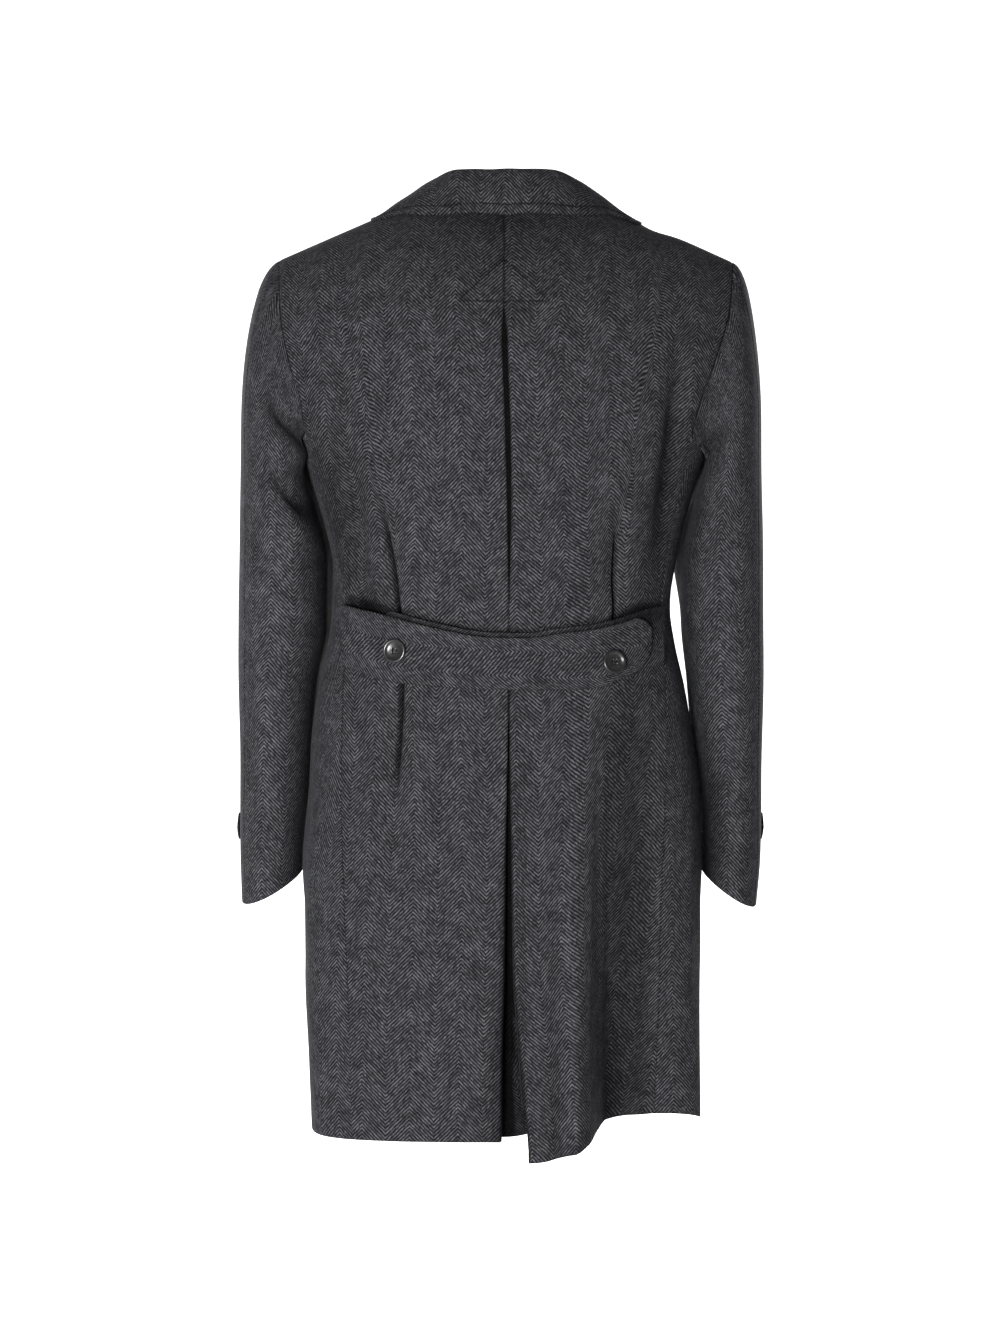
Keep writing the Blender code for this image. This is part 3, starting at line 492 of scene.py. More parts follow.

# %% [markdown]
# ## Creases
# Wool this thick folds in soft troughs and ridges that start, deepen and die away. Cloth simulation
# could find its own folds, but not those of this coat, so each one is given as a line with a width
# and a move out of the cloth. The line fades in and out at its two ends. Slow ripples of about a
# millimetre keep the flat stretches from looking pressed.

# %% Crease helpers
CREASE_FADE = 3.2            # a crease fades in over about a third of its length
RIPPLE = 0.0006              # half the height that the ripples can reach
RIPPLES = table("across along turn", [
    (31.0, 9.0, 0.3), (-17.0, 23.0, 1.9), (52.0, -13.0, 4.1), (11.0, 41.0, 2.6),
])
CREASE_COLUMNS = "top_x top_z low_x low_z width out"


def creases(tab, x, z):
    """Sum of a table's troughs and ridges at places on a panel."""
    out = np.zeros(np.broadcast(x, z).shape)
    for top_x, top_z, low_x, low_z, width, depth in zip(*tab.values()):
        way_x, way_z = low_x - top_x, low_z - top_z
        length = math.hypot(way_x, way_z)
        t = ((x - top_x) * way_x + (z - top_z) * way_z) / length ** 2
        off = ((x - top_x) * way_z - (z - top_z) * way_x) / length
        fade = ease(t * CREASE_FADE) * ease((1 - t) * CREASE_FADE)
        out = out + depth * fade * np.exp(-(off / width) ** 2)
    return out


def ripple(x, z):
    waves = [np.sin(a * x * 2 + b * z + c) for a, b, c in zip(*RIPPLES.values())]
    return RIPPLE * sum(waves) / len(waves) * 2


print("ripples:", len(RIPPLES["turn"]), "waves, up to", 2 * RIPPLE * 1000, "mm")

# %% [markdown]
# ## Back panels
# The back is cut in two. The panels meet at the centre seam, part in an inverted pleat between the
# shoulder blades and again below the belt, and end at the side seams. The right skirt is kicked out
# in one deep fold, so its hem swings lower. The seam lines are read from tables; the darts at the
# waist, the long fold beside the right arm and the pleat under the belt's left button are creases.

# %% Seams of the back
ARM_BASE = -0.237            # height of the armholes' feet at the back
HEM_FRONT = -0.939           # height of the hem at the front edges
BACK_EDGE = table("height left right", [
    (-0.940, 0.1530, 0.1490), (-0.810, 0.1570, 0.1534), (-0.710, 0.1610, 0.1554),
    (-0.610, 0.1646, 0.1593), (-0.500, 0.1635, 0.1612), (-0.410, 0.1604, 0.1565),
    (-0.360, 0.1700, 0.1620), (-0.300, 0.1860, 0.1740), (-0.237, 0.2010, 0.1850),
    (-0.205, 0.2055, 0.1940), (-0.180, 0.2131, 0.2040), (-0.150, 0.2205, 0.2140),
    (-0.115, 0.2262, 0.2235), (-0.062, 0.2295, 0.2295),
])
PLEAT = table("height line opening", [
    (-0.937, -0.0088, 0.0260), (-0.850, -0.0062, 0.0191), (-0.770, -0.0037, 0.0097),
    (-0.650, -0.0030, 0.0052), (-0.500, -0.0025, 0.0000), (-0.400, -0.0027, 0.0000),
    (-0.320, -0.0032, 0.0030), (-0.240, -0.0017, 0.0041), (-0.150, 0.0014, 0.0040),
    (-0.114, 0.0020, 0.0000), (0.000, 0.0020, 0.0000),
])
HEM = table("across height", [
    (-0.200, -0.9210), (-0.149, -0.9212), (-0.120, -0.9245), (-0.102, -0.9275), (-0.092, -0.9335),
    (-0.082, -0.939), (-0.068, -0.944), (-0.019, -0.949), (0.000, -0.9395), (0.200, -0.9385),
])


def back_edge(side, z):
    return side * read(BACK_EDGE, "left" if side == LEFT else "right", z)


def pleat_edge(side, z):
    return read(PLEAT, "line", z) + side * (read(PLEAT, "opening", z) + SEAM_GAP) / 2


print("back seams:", len(BACK_EDGE["height"]), "heights, pleat open up to",
      PLEAT["opening"].max() * 1000, "mm")

# %% Fold of the right skirt
SKIRT_FOLD = table("across out", [
    (-0.149, 0.000), (-0.135, -0.003), (-0.120, -0.010), (-0.102, -0.005), (-0.092, 0.023),
    (-0.082, 0.069), (-0.068, 0.091), (-0.045, 0.091), (-0.019, 0.066),
])
SKIRT_FOLD_TOP = -0.492      # the fold starts here, below the belt
SKIRT_FOLD_GROWTH = 1.15     # a power above 1 makes it grow faster towards the hem
SKIRT_FOLD_MOST = 1.05       # it stops growing just below the level hem
SIDE_FADE = 7                # folds die away over a seventh of a panel's width


def skirt_fold(side, x, z):
    if side == LEFT:
        return np.zeros_like(x)
    grow = np.clip((SKIRT_FOLD_TOP - z) / (SKIRT_FOLD_TOP - HEM_FRONT), 0, SKIRT_FOLD_MOST)
    return read(SKIRT_FOLD, "out", x, "across") * grow ** SKIRT_FOLD_GROWTH


def back_panel(side, u, v):
    """u runs from the centre back to the side; v from the hem to the armhole's foot, then the top."""
    hem_x = mix(pleat_edge(side, HEM_FRONT), back_edge(side, HEM_FRONT), u)
    hem = read(HEM, "height", hem_x, "across")
    top_x = mix(pleat_edge(side, 0.0), side * SHOULDER_HALF, u)
    neckline = NECK_BACK + (NECK_POINT - NECK_BACK) * (top_x / NECK_HALF) ** 2
    top = np.where(np.abs(top_x) < NECK_HALF, neckline, shoulder_line(top_x))
    z = np.where(v <= 1, mix(hem, ARM_BASE, v), mix(ARM_BASE, top, v - 1))
    x = mix(pleat_edge(side, z), back_edge(side, z), u)
    return stack(x, body_y(x, z, BACK) + skirt_fold(side, x, z) * ease((1 - u) * SIDE_FADE), z)


print("skirt fold: out by up to", SKIRT_FOLD["out"].max() * 1000, "mm at the hem")

# %% Creases of the back
BACK_CREASES = table(CREASE_COLUMNS, [
    (0.1300, -0.275, 0.1050, -0.418, 0.0110, -0.0065),
    (-0.1130, -0.290, -0.1060, -0.418, 0.0105, -0.0065),
    (0.1010, -0.452, 0.1180, -0.690, 0.0120, -0.0065),
    (-0.1790, -0.110, -0.1490, -0.425, 0.0120, -0.0085),
    (0.1540, -0.250, 0.1450, -0.425, 0.0110, -0.0080),
    (0.1560, -0.402, 0.1020, -0.426, 0.0060, -0.0050),
    (-0.1500, -0.408, -0.0960, -0.432, 0.0060, -0.0050),
    (0.1480, -0.480, 0.1560, -0.720, 0.0130, -0.0030),
    (0.0760, -0.520, 0.0900, -0.900, 0.0220, 0.0022),
    (0.1350, -0.610, 0.1420, -0.930, 0.0160, 0.0026),
    (0.0400, -0.640, 0.0520, -0.940, 0.0180, -0.0020),
    (-0.0480, -0.510, -0.0560, -0.760, 0.0150, 0.0020),
    (-0.1300, -0.520, -0.1280, -0.820, 0.0090, -0.0025),
    (0.1850, -0.120, 0.1680, -0.320, 0.0150, -0.0020),
    (-0.1300, -0.060, -0.1420, -0.220, 0.0180, -0.0016),
    (0.0750, -0.160, 0.0620, -0.330, 0.0240, -0.0012),
])
SLITS = table(CREASE_COLUMNS, [
    (0.1290, -0.300, 0.0975, -0.455, 0.0021, -0.0060),
    (-0.1125, -0.318, -0.1058, -0.455, 0.0019, -0.0060),
    (0.1010, -0.425, 0.1105, -0.610, 0.0025, -0.0060),
    (-0.1720, -0.170, -0.1500, -0.405, 0.0060, -0.0036),
])
PLEAT_ROLL = 0.0026          # the folded edges of the pleat turn in over this width
PLEAT_TURN = (0.0, 0.0060)   # and by this depth where it is closed and open
TRIANGLE = [(0.0022, -0.0690), (0.0473, -0.1122), (-0.0419, -0.1122), (0.0022, -0.0690)]
TRIANGLE_GROOVE = (0.0004, 0.0012, 0.42)   # depth and width of the groove, and darkness of the painted shade in it


def from_line(corners, x, z):
    """Distance of places on the back from a line of corners."""
    gaps = []
    for (x0, z0), (x1, z1) in zip(corners, corners[1:]):
        way_x, way_z = x1 - x0, z1 - z0
        t = np.clip(((x - x0) * way_x + (z - z0) * way_z) / (way_x ** 2 + way_z ** 2), 0, 1)
        gaps.append(np.hypot(x - x0 - t * way_x, z - z0 - t * way_z))
    return np.min(gaps, axis=0)


print("back creases:", len(BACK_CREASES["out"]), "soft ones and", len(SLITS["out"]), "slits")

# %% [markdown]
# ## Shade in the folds
# On the real coat, the darts, the pleat and the folds beside the arms are far deeper than the skin
# is here, and hardly any light comes out of them. The grids could be cut open and folded in, at the
# price of many more faces. A painted shade does it with short tables instead: narrow where a slit is
# sharp, and wide and faint where the cloth only turns away. It belongs to the cloth, so it stays in
# place from every side.
# Where it falls below zero it paints light instead, on the round of the arms and on the right skirt.

# %% Shade of the back
SLIT_DARK = 0.93             # painted shade at the bottom of the deepest slits
# painted shade along the pleat's edges and the centre seam above it, by height
PLEAT_DARK = table("height dark", [
    (-0.940, 0.90), (-0.495, 0.90), (-0.450, 0.20), (-0.412, 0.20), (-0.396, 0.85), (-0.122, 0.85),
    (-0.113, 0.30), (-0.020, 0.30),
])
SHADES = table("across height wide high dark", [   # painted shade; below zero, dark paints light onto the cloth
    (0.170, -0.330, 0.030, 0.110, 0.45), (-0.160, -0.300, 0.022, 0.120, 0.20),
    (0.000, -0.030, 0.120, 0.016, 0.35), (0.000, -0.060, 0.100, 0.045, 0.20),
    (0.150, -0.760, 0.050, 0.200, 0.06), (-0.050, -0.720, 0.040, 0.220, -0.16),
    (-0.156, -0.740, 0.014, 0.200, -0.12),
])
# painted shade in the recess behind the right skirt's ridge
RECESS = table("height edge dark", [
    (-0.950, -0.0940, 0.52), (-0.750, -0.0940, 0.50), (-0.560, -0.0935, 0.38), (-0.485, -0.0930, 0.15),
])
RECESS_TOP = -0.45           # the recess behind the right skirt's ridge lies below this
RECESS_START, RECESS_WIDE, RECESS_END = 0.005, 0.062, 0.022   # its soft start, width and soft end
LEFT_SEAM_SHADE_RUN = (0.15, -0.66, 0.12)   # least strength of the painted shade on the left side seam, and where and how softly it grows


def seam_strength(side, z):
    """Strength of the painted shade along the side seams; on the left it fades below the hip."""
    least, height, soft = LEFT_SEAM_SHADE_RUN
    return np.ones_like(z) if side == RIGHT else mix(least, 1.0, ease((z - height) / soft))


def shades(x, z):
    """Painted shade beside the arms, under the collar and behind the right skirt's ridge, and painted light
    on the right skirt.
    """
    out = sum(dark * np.exp(-((x - across) / wide) ** 2 - ((z - height) / high) ** 2)
              for across, height, wide, high, dark in zip(*SHADES.values()))
    past = np.maximum(read(RECESS, "edge", z) - x, 0)
    band = ease(past / RECESS_START) * ease((RECESS_WIDE - past) / RECESS_END)
    return out + read(RECESS, "dark", z) * (z < RECESS_TOP) * band


print("shade:", len(SHADES["dark"]), "soft patches on the back")

# %% [markdown]
# ## The line of the half belt
# The half belt dips in the middle and draws the back in, so the cloth above it dives behind its top
# edge. Its line is needed now, because that narrow dark depth is painted as shade on the back.

# %% Line and shadow of the half belt
BELT_RISE = {"belt_under": 0.005, "belt_over": 0.0}   # the under piece shows above the over piece
BELT_REACH = 0.1600          # half the belt's length
BELT = table("across top bottom", [
    (-0.1584, -0.4137, -0.4720), (-0.1398, -0.4167, -0.4740), (-0.1084, -0.4274, -0.4830),
    (-0.0860, -0.4323, -0.4905), (-0.0527, -0.4363, -0.4920), (-0.0184, -0.4408, -0.4920),
    (0.0149, -0.4402, -0.4920), (0.0718, -0.4304, -0.4890), (0.1050, -0.4216, -0.4862),
    (0.1588, -0.4078, -0.4705),
])
# painted shadow above the belt's top edge: its darkness and height across the back
BELT_SHADOW = table("across dark high", [
    (-0.158, 0.00, 0.0020), (-0.150, 0.70, 0.0050), (-0.132, 0.85, 0.0070), (-0.110, 0.75, 0.0050),
    (-0.070, 0.60, 0.0036), (0.000, 0.55, 0.0030), (0.070, 0.60, 0.0036), (0.110, 0.70, 0.0045),
    (0.138, 0.85, 0.0055), (0.150, 0.60, 0.0035), (0.160, 0.00, 0.0015),
])
BELT_SHADOW_FADE = (0.004, 0.030)   # at the belt's ends, and down behind it


def belt_shadow(x, z, rise=BELT_RISE["belt_under"]):
    """Painted shadow where the cloth dives behind the belt's top edge."""
    above = z - read(BELT, "top", x, "across") - rise
    dark, high = read(BELT_SHADOW, "dark", x, "across"), read(BELT_SHADOW, "high", x, "across")
    end, behind = BELT_SHADOW_FADE
    inside = ease((BELT_REACH - np.abs(x)) / end)
    return dark * inside * np.where(above > 0, np.exp(-(above / high) ** 2), ease(1 + above / behind))


print("half belt: between", BELT["bottom"].min(), "and", BELT["top"].max(), "m")

# %% Make the back
BACK_WIDE, BACK_LOW, BACK_HIGH = (0.17, 0.0014), (0.70, 0.004), (0.20, 0.0016)   # length and grid step
BACK_OUT = (0, 1, 0)
RIPPLE_FADE = 0.05           # the ripples die away over this height below the shoulders
PLEAT_SLIT = 0.0015          # width of the painted shade along the pleat's edges
PLEAT_OPEN = 0.003           # the pleat counts as open from this width
PLEAT_SHADE, PLEAT_SHADE_TOP = 0.6, -0.60   # painted shade beside the open pleat, and its upper end
PLEAT_SHADE_WIDE = (0.003, 0.013)   # its width at its top and near the hem
PLEAT_SHADE_RUN = (0.05, 0.32)      # the heights over which it sets in and widens


def pleat_shade(side, from_pleat, z):
    """Painted shade along the pleat's edge, and the painted shadow that the swung-out right panel leaves on
    the left.
    """
    dark = read(PLEAT_DARK, "dark", z) * np.exp(-(from_pleat / PLEAT_SLIT) ** 2)
    if side == RIGHT:
        return dark
    start, run = PLEAT_SHADE_RUN
    below = PLEAT_SHADE_TOP - z
    wide = mix(*PLEAT_SHADE_WIDE, ease(below / run))
    return dark + PLEAT_SHADE * ease(below / start) * np.exp(-(from_pleat / wide) ** 2)


def make_back(side, node):
    rows = np.concatenate([spread(*BACK_LOW, end=False), 1 + spread(*BACK_HIGH, start=False)[1:]])
    u, v = np.meshgrid(spread(*BACK_WIDE), rows)
    points = back_panel(side, u, v)
    x, z = points[..., 0], points[..., 2]
    slit = creases(SLITS, x, z)
    waves = (ripple(x, z) - RIPPLE / 2) * ease((shoulder_line(x) - z) / RIPPLE_FADE)
    relief = creases(BACK_CREASES, x, z) * ease((1 - u) * SIDE_FADE) + waves + slit
    from_pleat = side * (x - pleat_edge(side, z))
    # painted shade in the slits, under the belt's edge and in soft patches, with painted light where a
    # patch is below zero
    painted_shade_and_light = slit / SLITS["out"].min() * SLIT_DARK + belt_shadow(x, z) + shades(x, z)
    depth, width, dark = TRIANGLE_GROOVE
    groove = np.exp(-(from_line(TRIANGLE, x, z) / width) ** 2)
    relief = relief - depth * groove
    # painted shade in the triangle's groove and along the pleat
    painted_shade_and_light = painted_shade_and_light + dark * groove + pleat_shade(side, from_pleat, z)
    open_share = ease(read(PLEAT, "opening", z) / PLEAT_OPEN)
    near = np.clip(1 - from_pleat / PLEAT_ROLL, 0, 1)
    relief = relief - mix(*PLEAT_TURN, open_share) * (1 - np.sqrt(1 - near ** 2))
    points = raised(points, relief, BACK_OUT)
    cloth_piece(node, points, BACK_OUT, painted_shade_and_light=painted_shade_and_light, seam=seam_strength(side, z))


make_back(LEFT, "back_left")
make_back(RIGHT, "back_right")

# %% [markdown]
# ## The strip behind the pleat
# An inverted pleat has a strip of the same cloth behind it, which shows only as a dark depth between
# the two folded edges. It could be a flat band, but from above one would look past its right edge. So
# it lies just behind the panels at the waist, falls further in at the hem, and turns out at its right
# to the inside of the panel that swings away.

# %% Pleat underlay
UNDERLAY_GRID = (0.12, 0.004), (0.81, 0.006)   # length and grid step, across and along
UNDERLAY_HEM = -0.937
UNDERLAY_TOP = -0.102
UNDERLAY_DARK = (0.95, 0.50)            # painted shade on its left and on its right part
UNDERLAY_CHANGE = (-0.0072, 0.002)      # where the one becomes the other, and how softly
UNDERLAY_LIT = (-0.74, 0.10)            # the right part has less painted shade below this, and how softly
UNDERLAY_LEFT, UNDERLAY_RIGHT = 0.024, 0.011   # how far it reaches past the pleat's edges
UNDERLAY_GAP = 0.0012        # from the panels' inner face
UNDERLAY_DEPTH = 0.014       # how much further in it lies at the hem
UNDERLAY_TURN = 0.55         # share of its grid in the part that turns out
UNDERLAY_HIDE = 0.004        # that part stays this far behind the right panel's edge


def make_underlay():
    share, rise = lines(*UNDERLAY_GRID)
    z = mix(UNDERLAY_HEM, UNDERLAY_TOP, rise)
    right = pleat_edge(RIGHT, z)
    turned = np.clip(share / UNDERLAY_TURN, 0, 1)
    flat = np.clip((share - UNDERLAY_TURN) / (1 - UNDERLAY_TURN), 0, 1)
    x = mix(right - UNDERLAY_RIGHT, right - UNDERLAY_HIDE, turned)
    x = mix(x, pleat_edge(LEFT, z) + UNDERLAY_LEFT, flat)
    deep = ease((SKIRT_FOLD_TOP - z) / (SKIRT_FOLD_TOP - HEM_FRONT)) * UNDERLAY_DEPTH
    swing = skirt_fold(RIGHT, right - UNDERLAY_RIGHT, z) + deep
    points = stack(x, body_y(x, z, BACK) - CLOTH - UNDERLAY_GAP - deep + swing * (1 - turned), z)
    # painted shade: the strip is nearly black in the pleat's depth, lighter where its right part shows
    (change, softly), (below, slowly) = UNDERLAY_CHANGE, UNDERLAY_LIT
    dark = mix(*UNDERLAY_DARK, ease((change - x) / softly) * ease((below - z) / slowly))
    cloth_piece("pleat_underlay", points, BACK_OUT, painted_shade_and_light=dark)


make_underlay()

# %% [markdown]
# ## Fronts
# Each front wraps from its side seam round to the buttoned edge, with a bite taken out for the
# armhole. It is one grid in the shape of an L: a wide lower part up to the underarm, and a narrower
# part from there to the shoulder, ending at the lapel's roll line. Two grids would leave a seam across
# the chest. The left front laps over the right one, so it stands off by a few millimetres. The
# photograph shows only the back; the front is finished plainly, with soft creases like those that show.

# %% Seams of the fronts
ARM_FRONT = -0.215           # height of the armholes' feet at the front
FRONT_LAP = 0.075            # the fronts reach past the centre by this much
BREAK = -0.33                # height at which the lapels start to turn back
LAP_LIFT, LAP_START, LAP_TOP, LAP_RAMP = 0.0066, 0.14, -0.12, 0.05   # its height, ends and ramp
FRONT_HEM_RUN = 0.6          # share of a front's width over which its hem comes level
SIDE_OVER = 0.0006           # the fronts reach under the back by this much at the side seams
UNDERARM = table("along height", [
    (0.00, -0.237), (0.25, -0.259), (0.50, -0.268), (0.75, -0.2555), (1.00, -0.215),
])
ARM_CURVE = table("height across", [
    (-0.215, 0.1935), (-0.180, 0.1935), (-0.140, 0.2010), (-0.100, 0.2165), (-0.062, 0.2295),
])


def lap_lift(side, x, z):
    if side == RIGHT:
        return np.zeros(np.broadcast(x, z).shape)
    return LAP_LIFT * ease((LAP_START - x) / LAP_RAMP) * ease((LAP_TOP - z) / LAP_RAMP)


def front_edge_x(z):
    slope = (NECK_HALF + FRONT_LAP) / (NECK_POINT - BREAK)
    return np.where(z < BREAK, -FRONT_LAP, -FRONT_LAP + (z - BREAK) * slope)


def front_turn(side, own_x, z):
    share = np.abs(own_x) / half_width(side * np.sign(own_x), z)
    return math.pi - np.sign(own_x) * np.arcsin(share ** (read(BODY, "squareness", z) / 2))


def front_split(side):
    """Share of the lower front's width that lies under the armhole."""
    start = turn_of(side, back_edge(side, ARM_FRONT), ARM_FRONT)
    arm = front_turn(side, ARM_CURVE["across"][0], ARM_FRONT)
    return (arm - start) / (front_turn(side, front_edge_x(ARM_FRONT), ARM_FRONT) - start)


print("fronts: share of the width under the arm, left and right:",
      [round(float(front_split(side)), 2) for side in (LEFT, RIGHT)])


# %% Surface of the fronts
def front_lower(side, s, v):
    split = front_split(side)
    top = np.where(s < split, read(UNDERARM, "height", s / split, "along"), ARM_FRONT)
    side_hem = read(HEM, "height", back_edge(side, HEM_FRONT), "across")
    z = mix(mix(side_hem, HEM_FRONT, ease(s / FRONT_HEM_RUN)), top, v)
    start = turn_of(side, back_edge(side, z) - side * SIDE_OVER, z)
    x, y = ring_point(side, mix(start, front_turn(side, front_edge_x(z), z), s), z)
    return stack(x, y - lap_lift(side, x, z), z)


def front_upper(side, w, v):
    split = front_split(side)
    first = side * front_lower(side, mix(split, 1.0, w), np.ones_like(w))[..., 0]
    arm_z = mix(ARM_FRONT, SHOULDER_POINT[side], v)
    roll_z = mix(ARM_FRONT, NECK_POINT, v)
    start, end = ARM_CURVE["across"][0], front_edge_x(ARM_FRONT)
    share = mix((first - start) / (end - start), w, v)
    x = side * mix(read(ARM_CURVE, "across", arm_z), front_edge_x(roll_z), share)
    z = mix(arm_z, roll_z, share) - shoulder_dip(x) * v ** 6
    return stack(x, body_y(x, z, FRONT) - lap_lift(side, x, z), z)


print("fronts: the shoulder's outer end is at", front_upper(LEFT, np.zeros(1), np.ones(1))[0].round(3))

# %% Creases of the fronts
FRONT_CREASES = table(CREASE_COLUMNS, [
    (0.1100, -0.250, 0.0900, -0.420, 0.0110, -0.0040),
    (0.0600, -0.380, 0.1280, -0.440, 0.0090, -0.0030),
    (0.0700, -0.590, 0.0900, -0.850, 0.0170, -0.0042),
    (0.1280, -0.480, 0.1420, -0.800, 0.0150, 0.0036),
    (0.1500, -0.300, 0.1400, -0.460, 0.0100, -0.0036),
    (0.1000, -0.640, 0.1150, -0.930, 0.0160, 0.0030),
    (0.0300, -0.620, 0.0350, -0.900, 0.0200, 0.0020),
    (0.1650, -0.150, 0.1300, -0.230, 0.0120, -0.0024),
])
SIDE_CREASES = table(CREASE_COLUMNS, [
    (-0.0200, -0.300, 0.0200, -0.430, 0.0120, -0.0034),
    (0.0100, -0.470, -0.0250, -0.760, 0.0150, 0.0036),
    (-0.0600, -0.500, -0.0700, -0.820, 0.0150, -0.0034),
    (0.0300, -0.560, 0.0350, -0.900, 0.0120, -0.0024),
])
FRONT_FADE = 0.05            # depth over which the front's creases set in
SIDE_CREASES_FROM = (0.12, 0.04)   # the side's creases set in here, and how softly
print("fronts:", len(FRONT_CREASES["out"]), "creases in front and", len(SIDE_CREASES["out"]), "at the side")

# %% Make the fronts
FRONT_STEP = 0.0045          # grid step of the fronts
UNDER_WIDE, AHEAD_WIDE, LOWER_HIGH, UPPER_HIGH = 0.17, 0.26, 0.71, 0.21   # lengths of their parts
FRONT_RIPPLES = 1            # the fronts have their own stretch of the ripples


def make_front(side, node):
    split = front_split(side)
    under, ahead = spread(UNDER_WIDE, FRONT_STEP, end=False) * split, spread(AHEAD_WIDE, FRONT_STEP)
    s, v = np.meshgrid(np.concatenate([under, mix(split, 1, ahead[1:])]), spread(LOWER_HIGH, FRONT_STEP))
    w, top_v = np.meshgrid(ahead, spread(UPPER_HIGH, FRONT_STEP, start=False))
    lower, upper = front_lower(side, s, v), front_upper(side, w, top_v)[1:]
    notch = len(under) - 1
    spare = np.repeat(2 * lower[-1:, :notch] - lower[-2:-1, :notch], len(upper), axis=0)
    spare[:, -1] = 2 * upper[:, 0] - upper[:, 1]
    points = np.concatenate([lower, np.concatenate([spare, upper], axis=1)])
    cells = np.ones((len(points) - 1, points.shape[1] - 1), dtype=bool)
    cells[len(lower) - 1:, :notch] = False
    x, y, z = np.moveaxis(points, -1, 0)
    share = np.concatenate([s, np.repeat(s[:1], len(upper), axis=0)])
    relief = creases(FRONT_CREASES, side * x, z) * ease(-y / FRONT_FADE)
    start, soft = SIDE_CREASES_FROM
    relief = relief + creases(SIDE_CREASES, y, z) * ease((np.abs(x) - start) / soft)
    fade = ease(share * SIDE_FADE) * ease((1 - share) * SIDE_FADE)
    relief = (relief + ripple(x + FRONT_RIPPLES, z)) * fade
    outward = unit(stack(x, y, 0 * z))
    length = arc(points, 1)
    across = front_edge_x(z[:, -1:]) + length[:, -1:] - length
    points = raised(points, relief, outward)
    cloth_piece(node, points, outward, cells=cells, across=across, along=z - z.min(),
                seam=seam_strength(side, z))


make_front(LEFT, "front_left")
make_front(RIGHT, "front_right")

# %% [markdown]
# ## Sleeves
# A tailored sleeve is two pieces, a wide top and a narrower under sleeve, sewn along the front and
# the back of the arm. A tube pushed into the body would cut through it at the shoulder. Here the
# armhole's points come from the panels themselves, so sleeve and body share one line, and the cap
# joins them to the first ring with one smooth curve each. The rings tilt, so the cuff is cut longer
# on the outer side. Drag folds run from the underarm across the sleeve.

# %% Sleeve rings and armhole
CUFF_DIP = 0.007             # the cuff is this much longer at the back of the arm
CUFF_DIP_RINGS = (5, 7)
ARMHOLE_TURNS = (0, 145, 228, 360)   # the armhole's corners, in degrees from the shoulder
ARM_EASE = 1.5               # the armhole's points crowd towards the shoulder by this power
SLEEVE_COLUMNS = "outer_z inner_z outer_x inner_x depth centre_y lean"
SLEEVE_RINGS = {
    LEFT: table(SLEEVE_COLUMNS, [
        (-0.220, -0.300, 0.2693, 0.1965, 0.082, -0.002, 0.030),
        (-0.330, -0.365, 0.2713, 0.1815, 0.077, -0.005, 0.044),
        (-0.420, -0.430, 0.2734, 0.1822, 0.072, -0.010, 0.042),
        (-0.485, -0.485, 0.2734, 0.1920, 0.069, -0.015, 0.034),
        (-0.540, -0.540, 0.2734, 0.1980, 0.066, -0.020, 0.028),
        (-0.600, -0.595, 0.2738, 0.2020, 0.063, -0.026, 0.022),
        (-0.665, -0.640, 0.2742, 0.2065, 0.060, -0.032, 0.016),
        (-0.715, -0.683, 0.2732, 0.2085, 0.058, -0.037, 0.010),
    ]),
    RIGHT: table(SLEEVE_COLUMNS, [
        (-0.220, -0.300, 0.2595, 0.1930, 0.082, -0.002, 0.030),
        (-0.330, -0.365, 0.2617, 0.1785, 0.077, -0.005, 0.040),
        (-0.420, -0.430, 0.2628, 0.1790, 0.072, -0.010, 0.012),
        (-0.485, -0.485, 0.2632, 0.1845, 0.069, -0.015, 0.000),
        (-0.540, -0.540, 0.2632, 0.1905, 0.066, -0.020, 0.000),
        (-0.600, -0.595, 0.2632, 0.1972, 0.063, -0.026, 0.000),
        (-0.665, -0.640, 0.2622, 0.2005, 0.060, -0.032, 0.000),
        (-0.718, -0.683, 0.2585, 0.2015, 0.058, -0.037, 0.000),
    ]),
}


def sleeve_ring(side, ring, turn):
    """Point on the sleeve at a place along its rings and an angle from its outer side to its back."""
    rings = SLEEVE_RINGS[side]
    places = np.arange(len(rings["depth"]), dtype=float)
    outer, front = (1 + np.cos(turn)) / 2, np.clip(-np.sin(turn), 0, 1)
    at = {column: spline(places, values, ring) for column, values in rings.items()}
    x = mix(at["inner_x"], at["outer_x"], outer) - at["lean"] * front ** 2 * (1 - outer)
    first, last = CUFF_DIP_RINGS
    dip = CUFF_DIP * ease((ring - first) / (last - first)) * np.sin(turn)
    z = mix(at["inner_z"], at["outer_z"], outer) - dip
    return stack(side * x, at["centre_y"] + at["depth"] * np.sin(turn), z)


def armhole(side, turns):
    """The armhole at angles from the shoulder: down the back, under the arm and up the front."""
    share = np.interp(turns, ARMHOLE_TURNS, range(4))
    back = back_panel(side, np.ones_like(share), 2 - np.clip(share, 0, 1) ** ARM_EASE)
    under = front_lower(side, np.clip(share - 1, 0, 1) * front_split(side), np.ones_like(share))
    front = front_upper(side, np.zeros_like(share), 1 - (1 - np.clip(share - 2, 0, 1)) ** ARM_EASE)
    part = share[..., None]
    return np.where(part < 1, back, np.where(part < 2, under, front))


print("sleeves:", len(SLEEVE_RINGS[LEFT]["depth"]), "rings each")

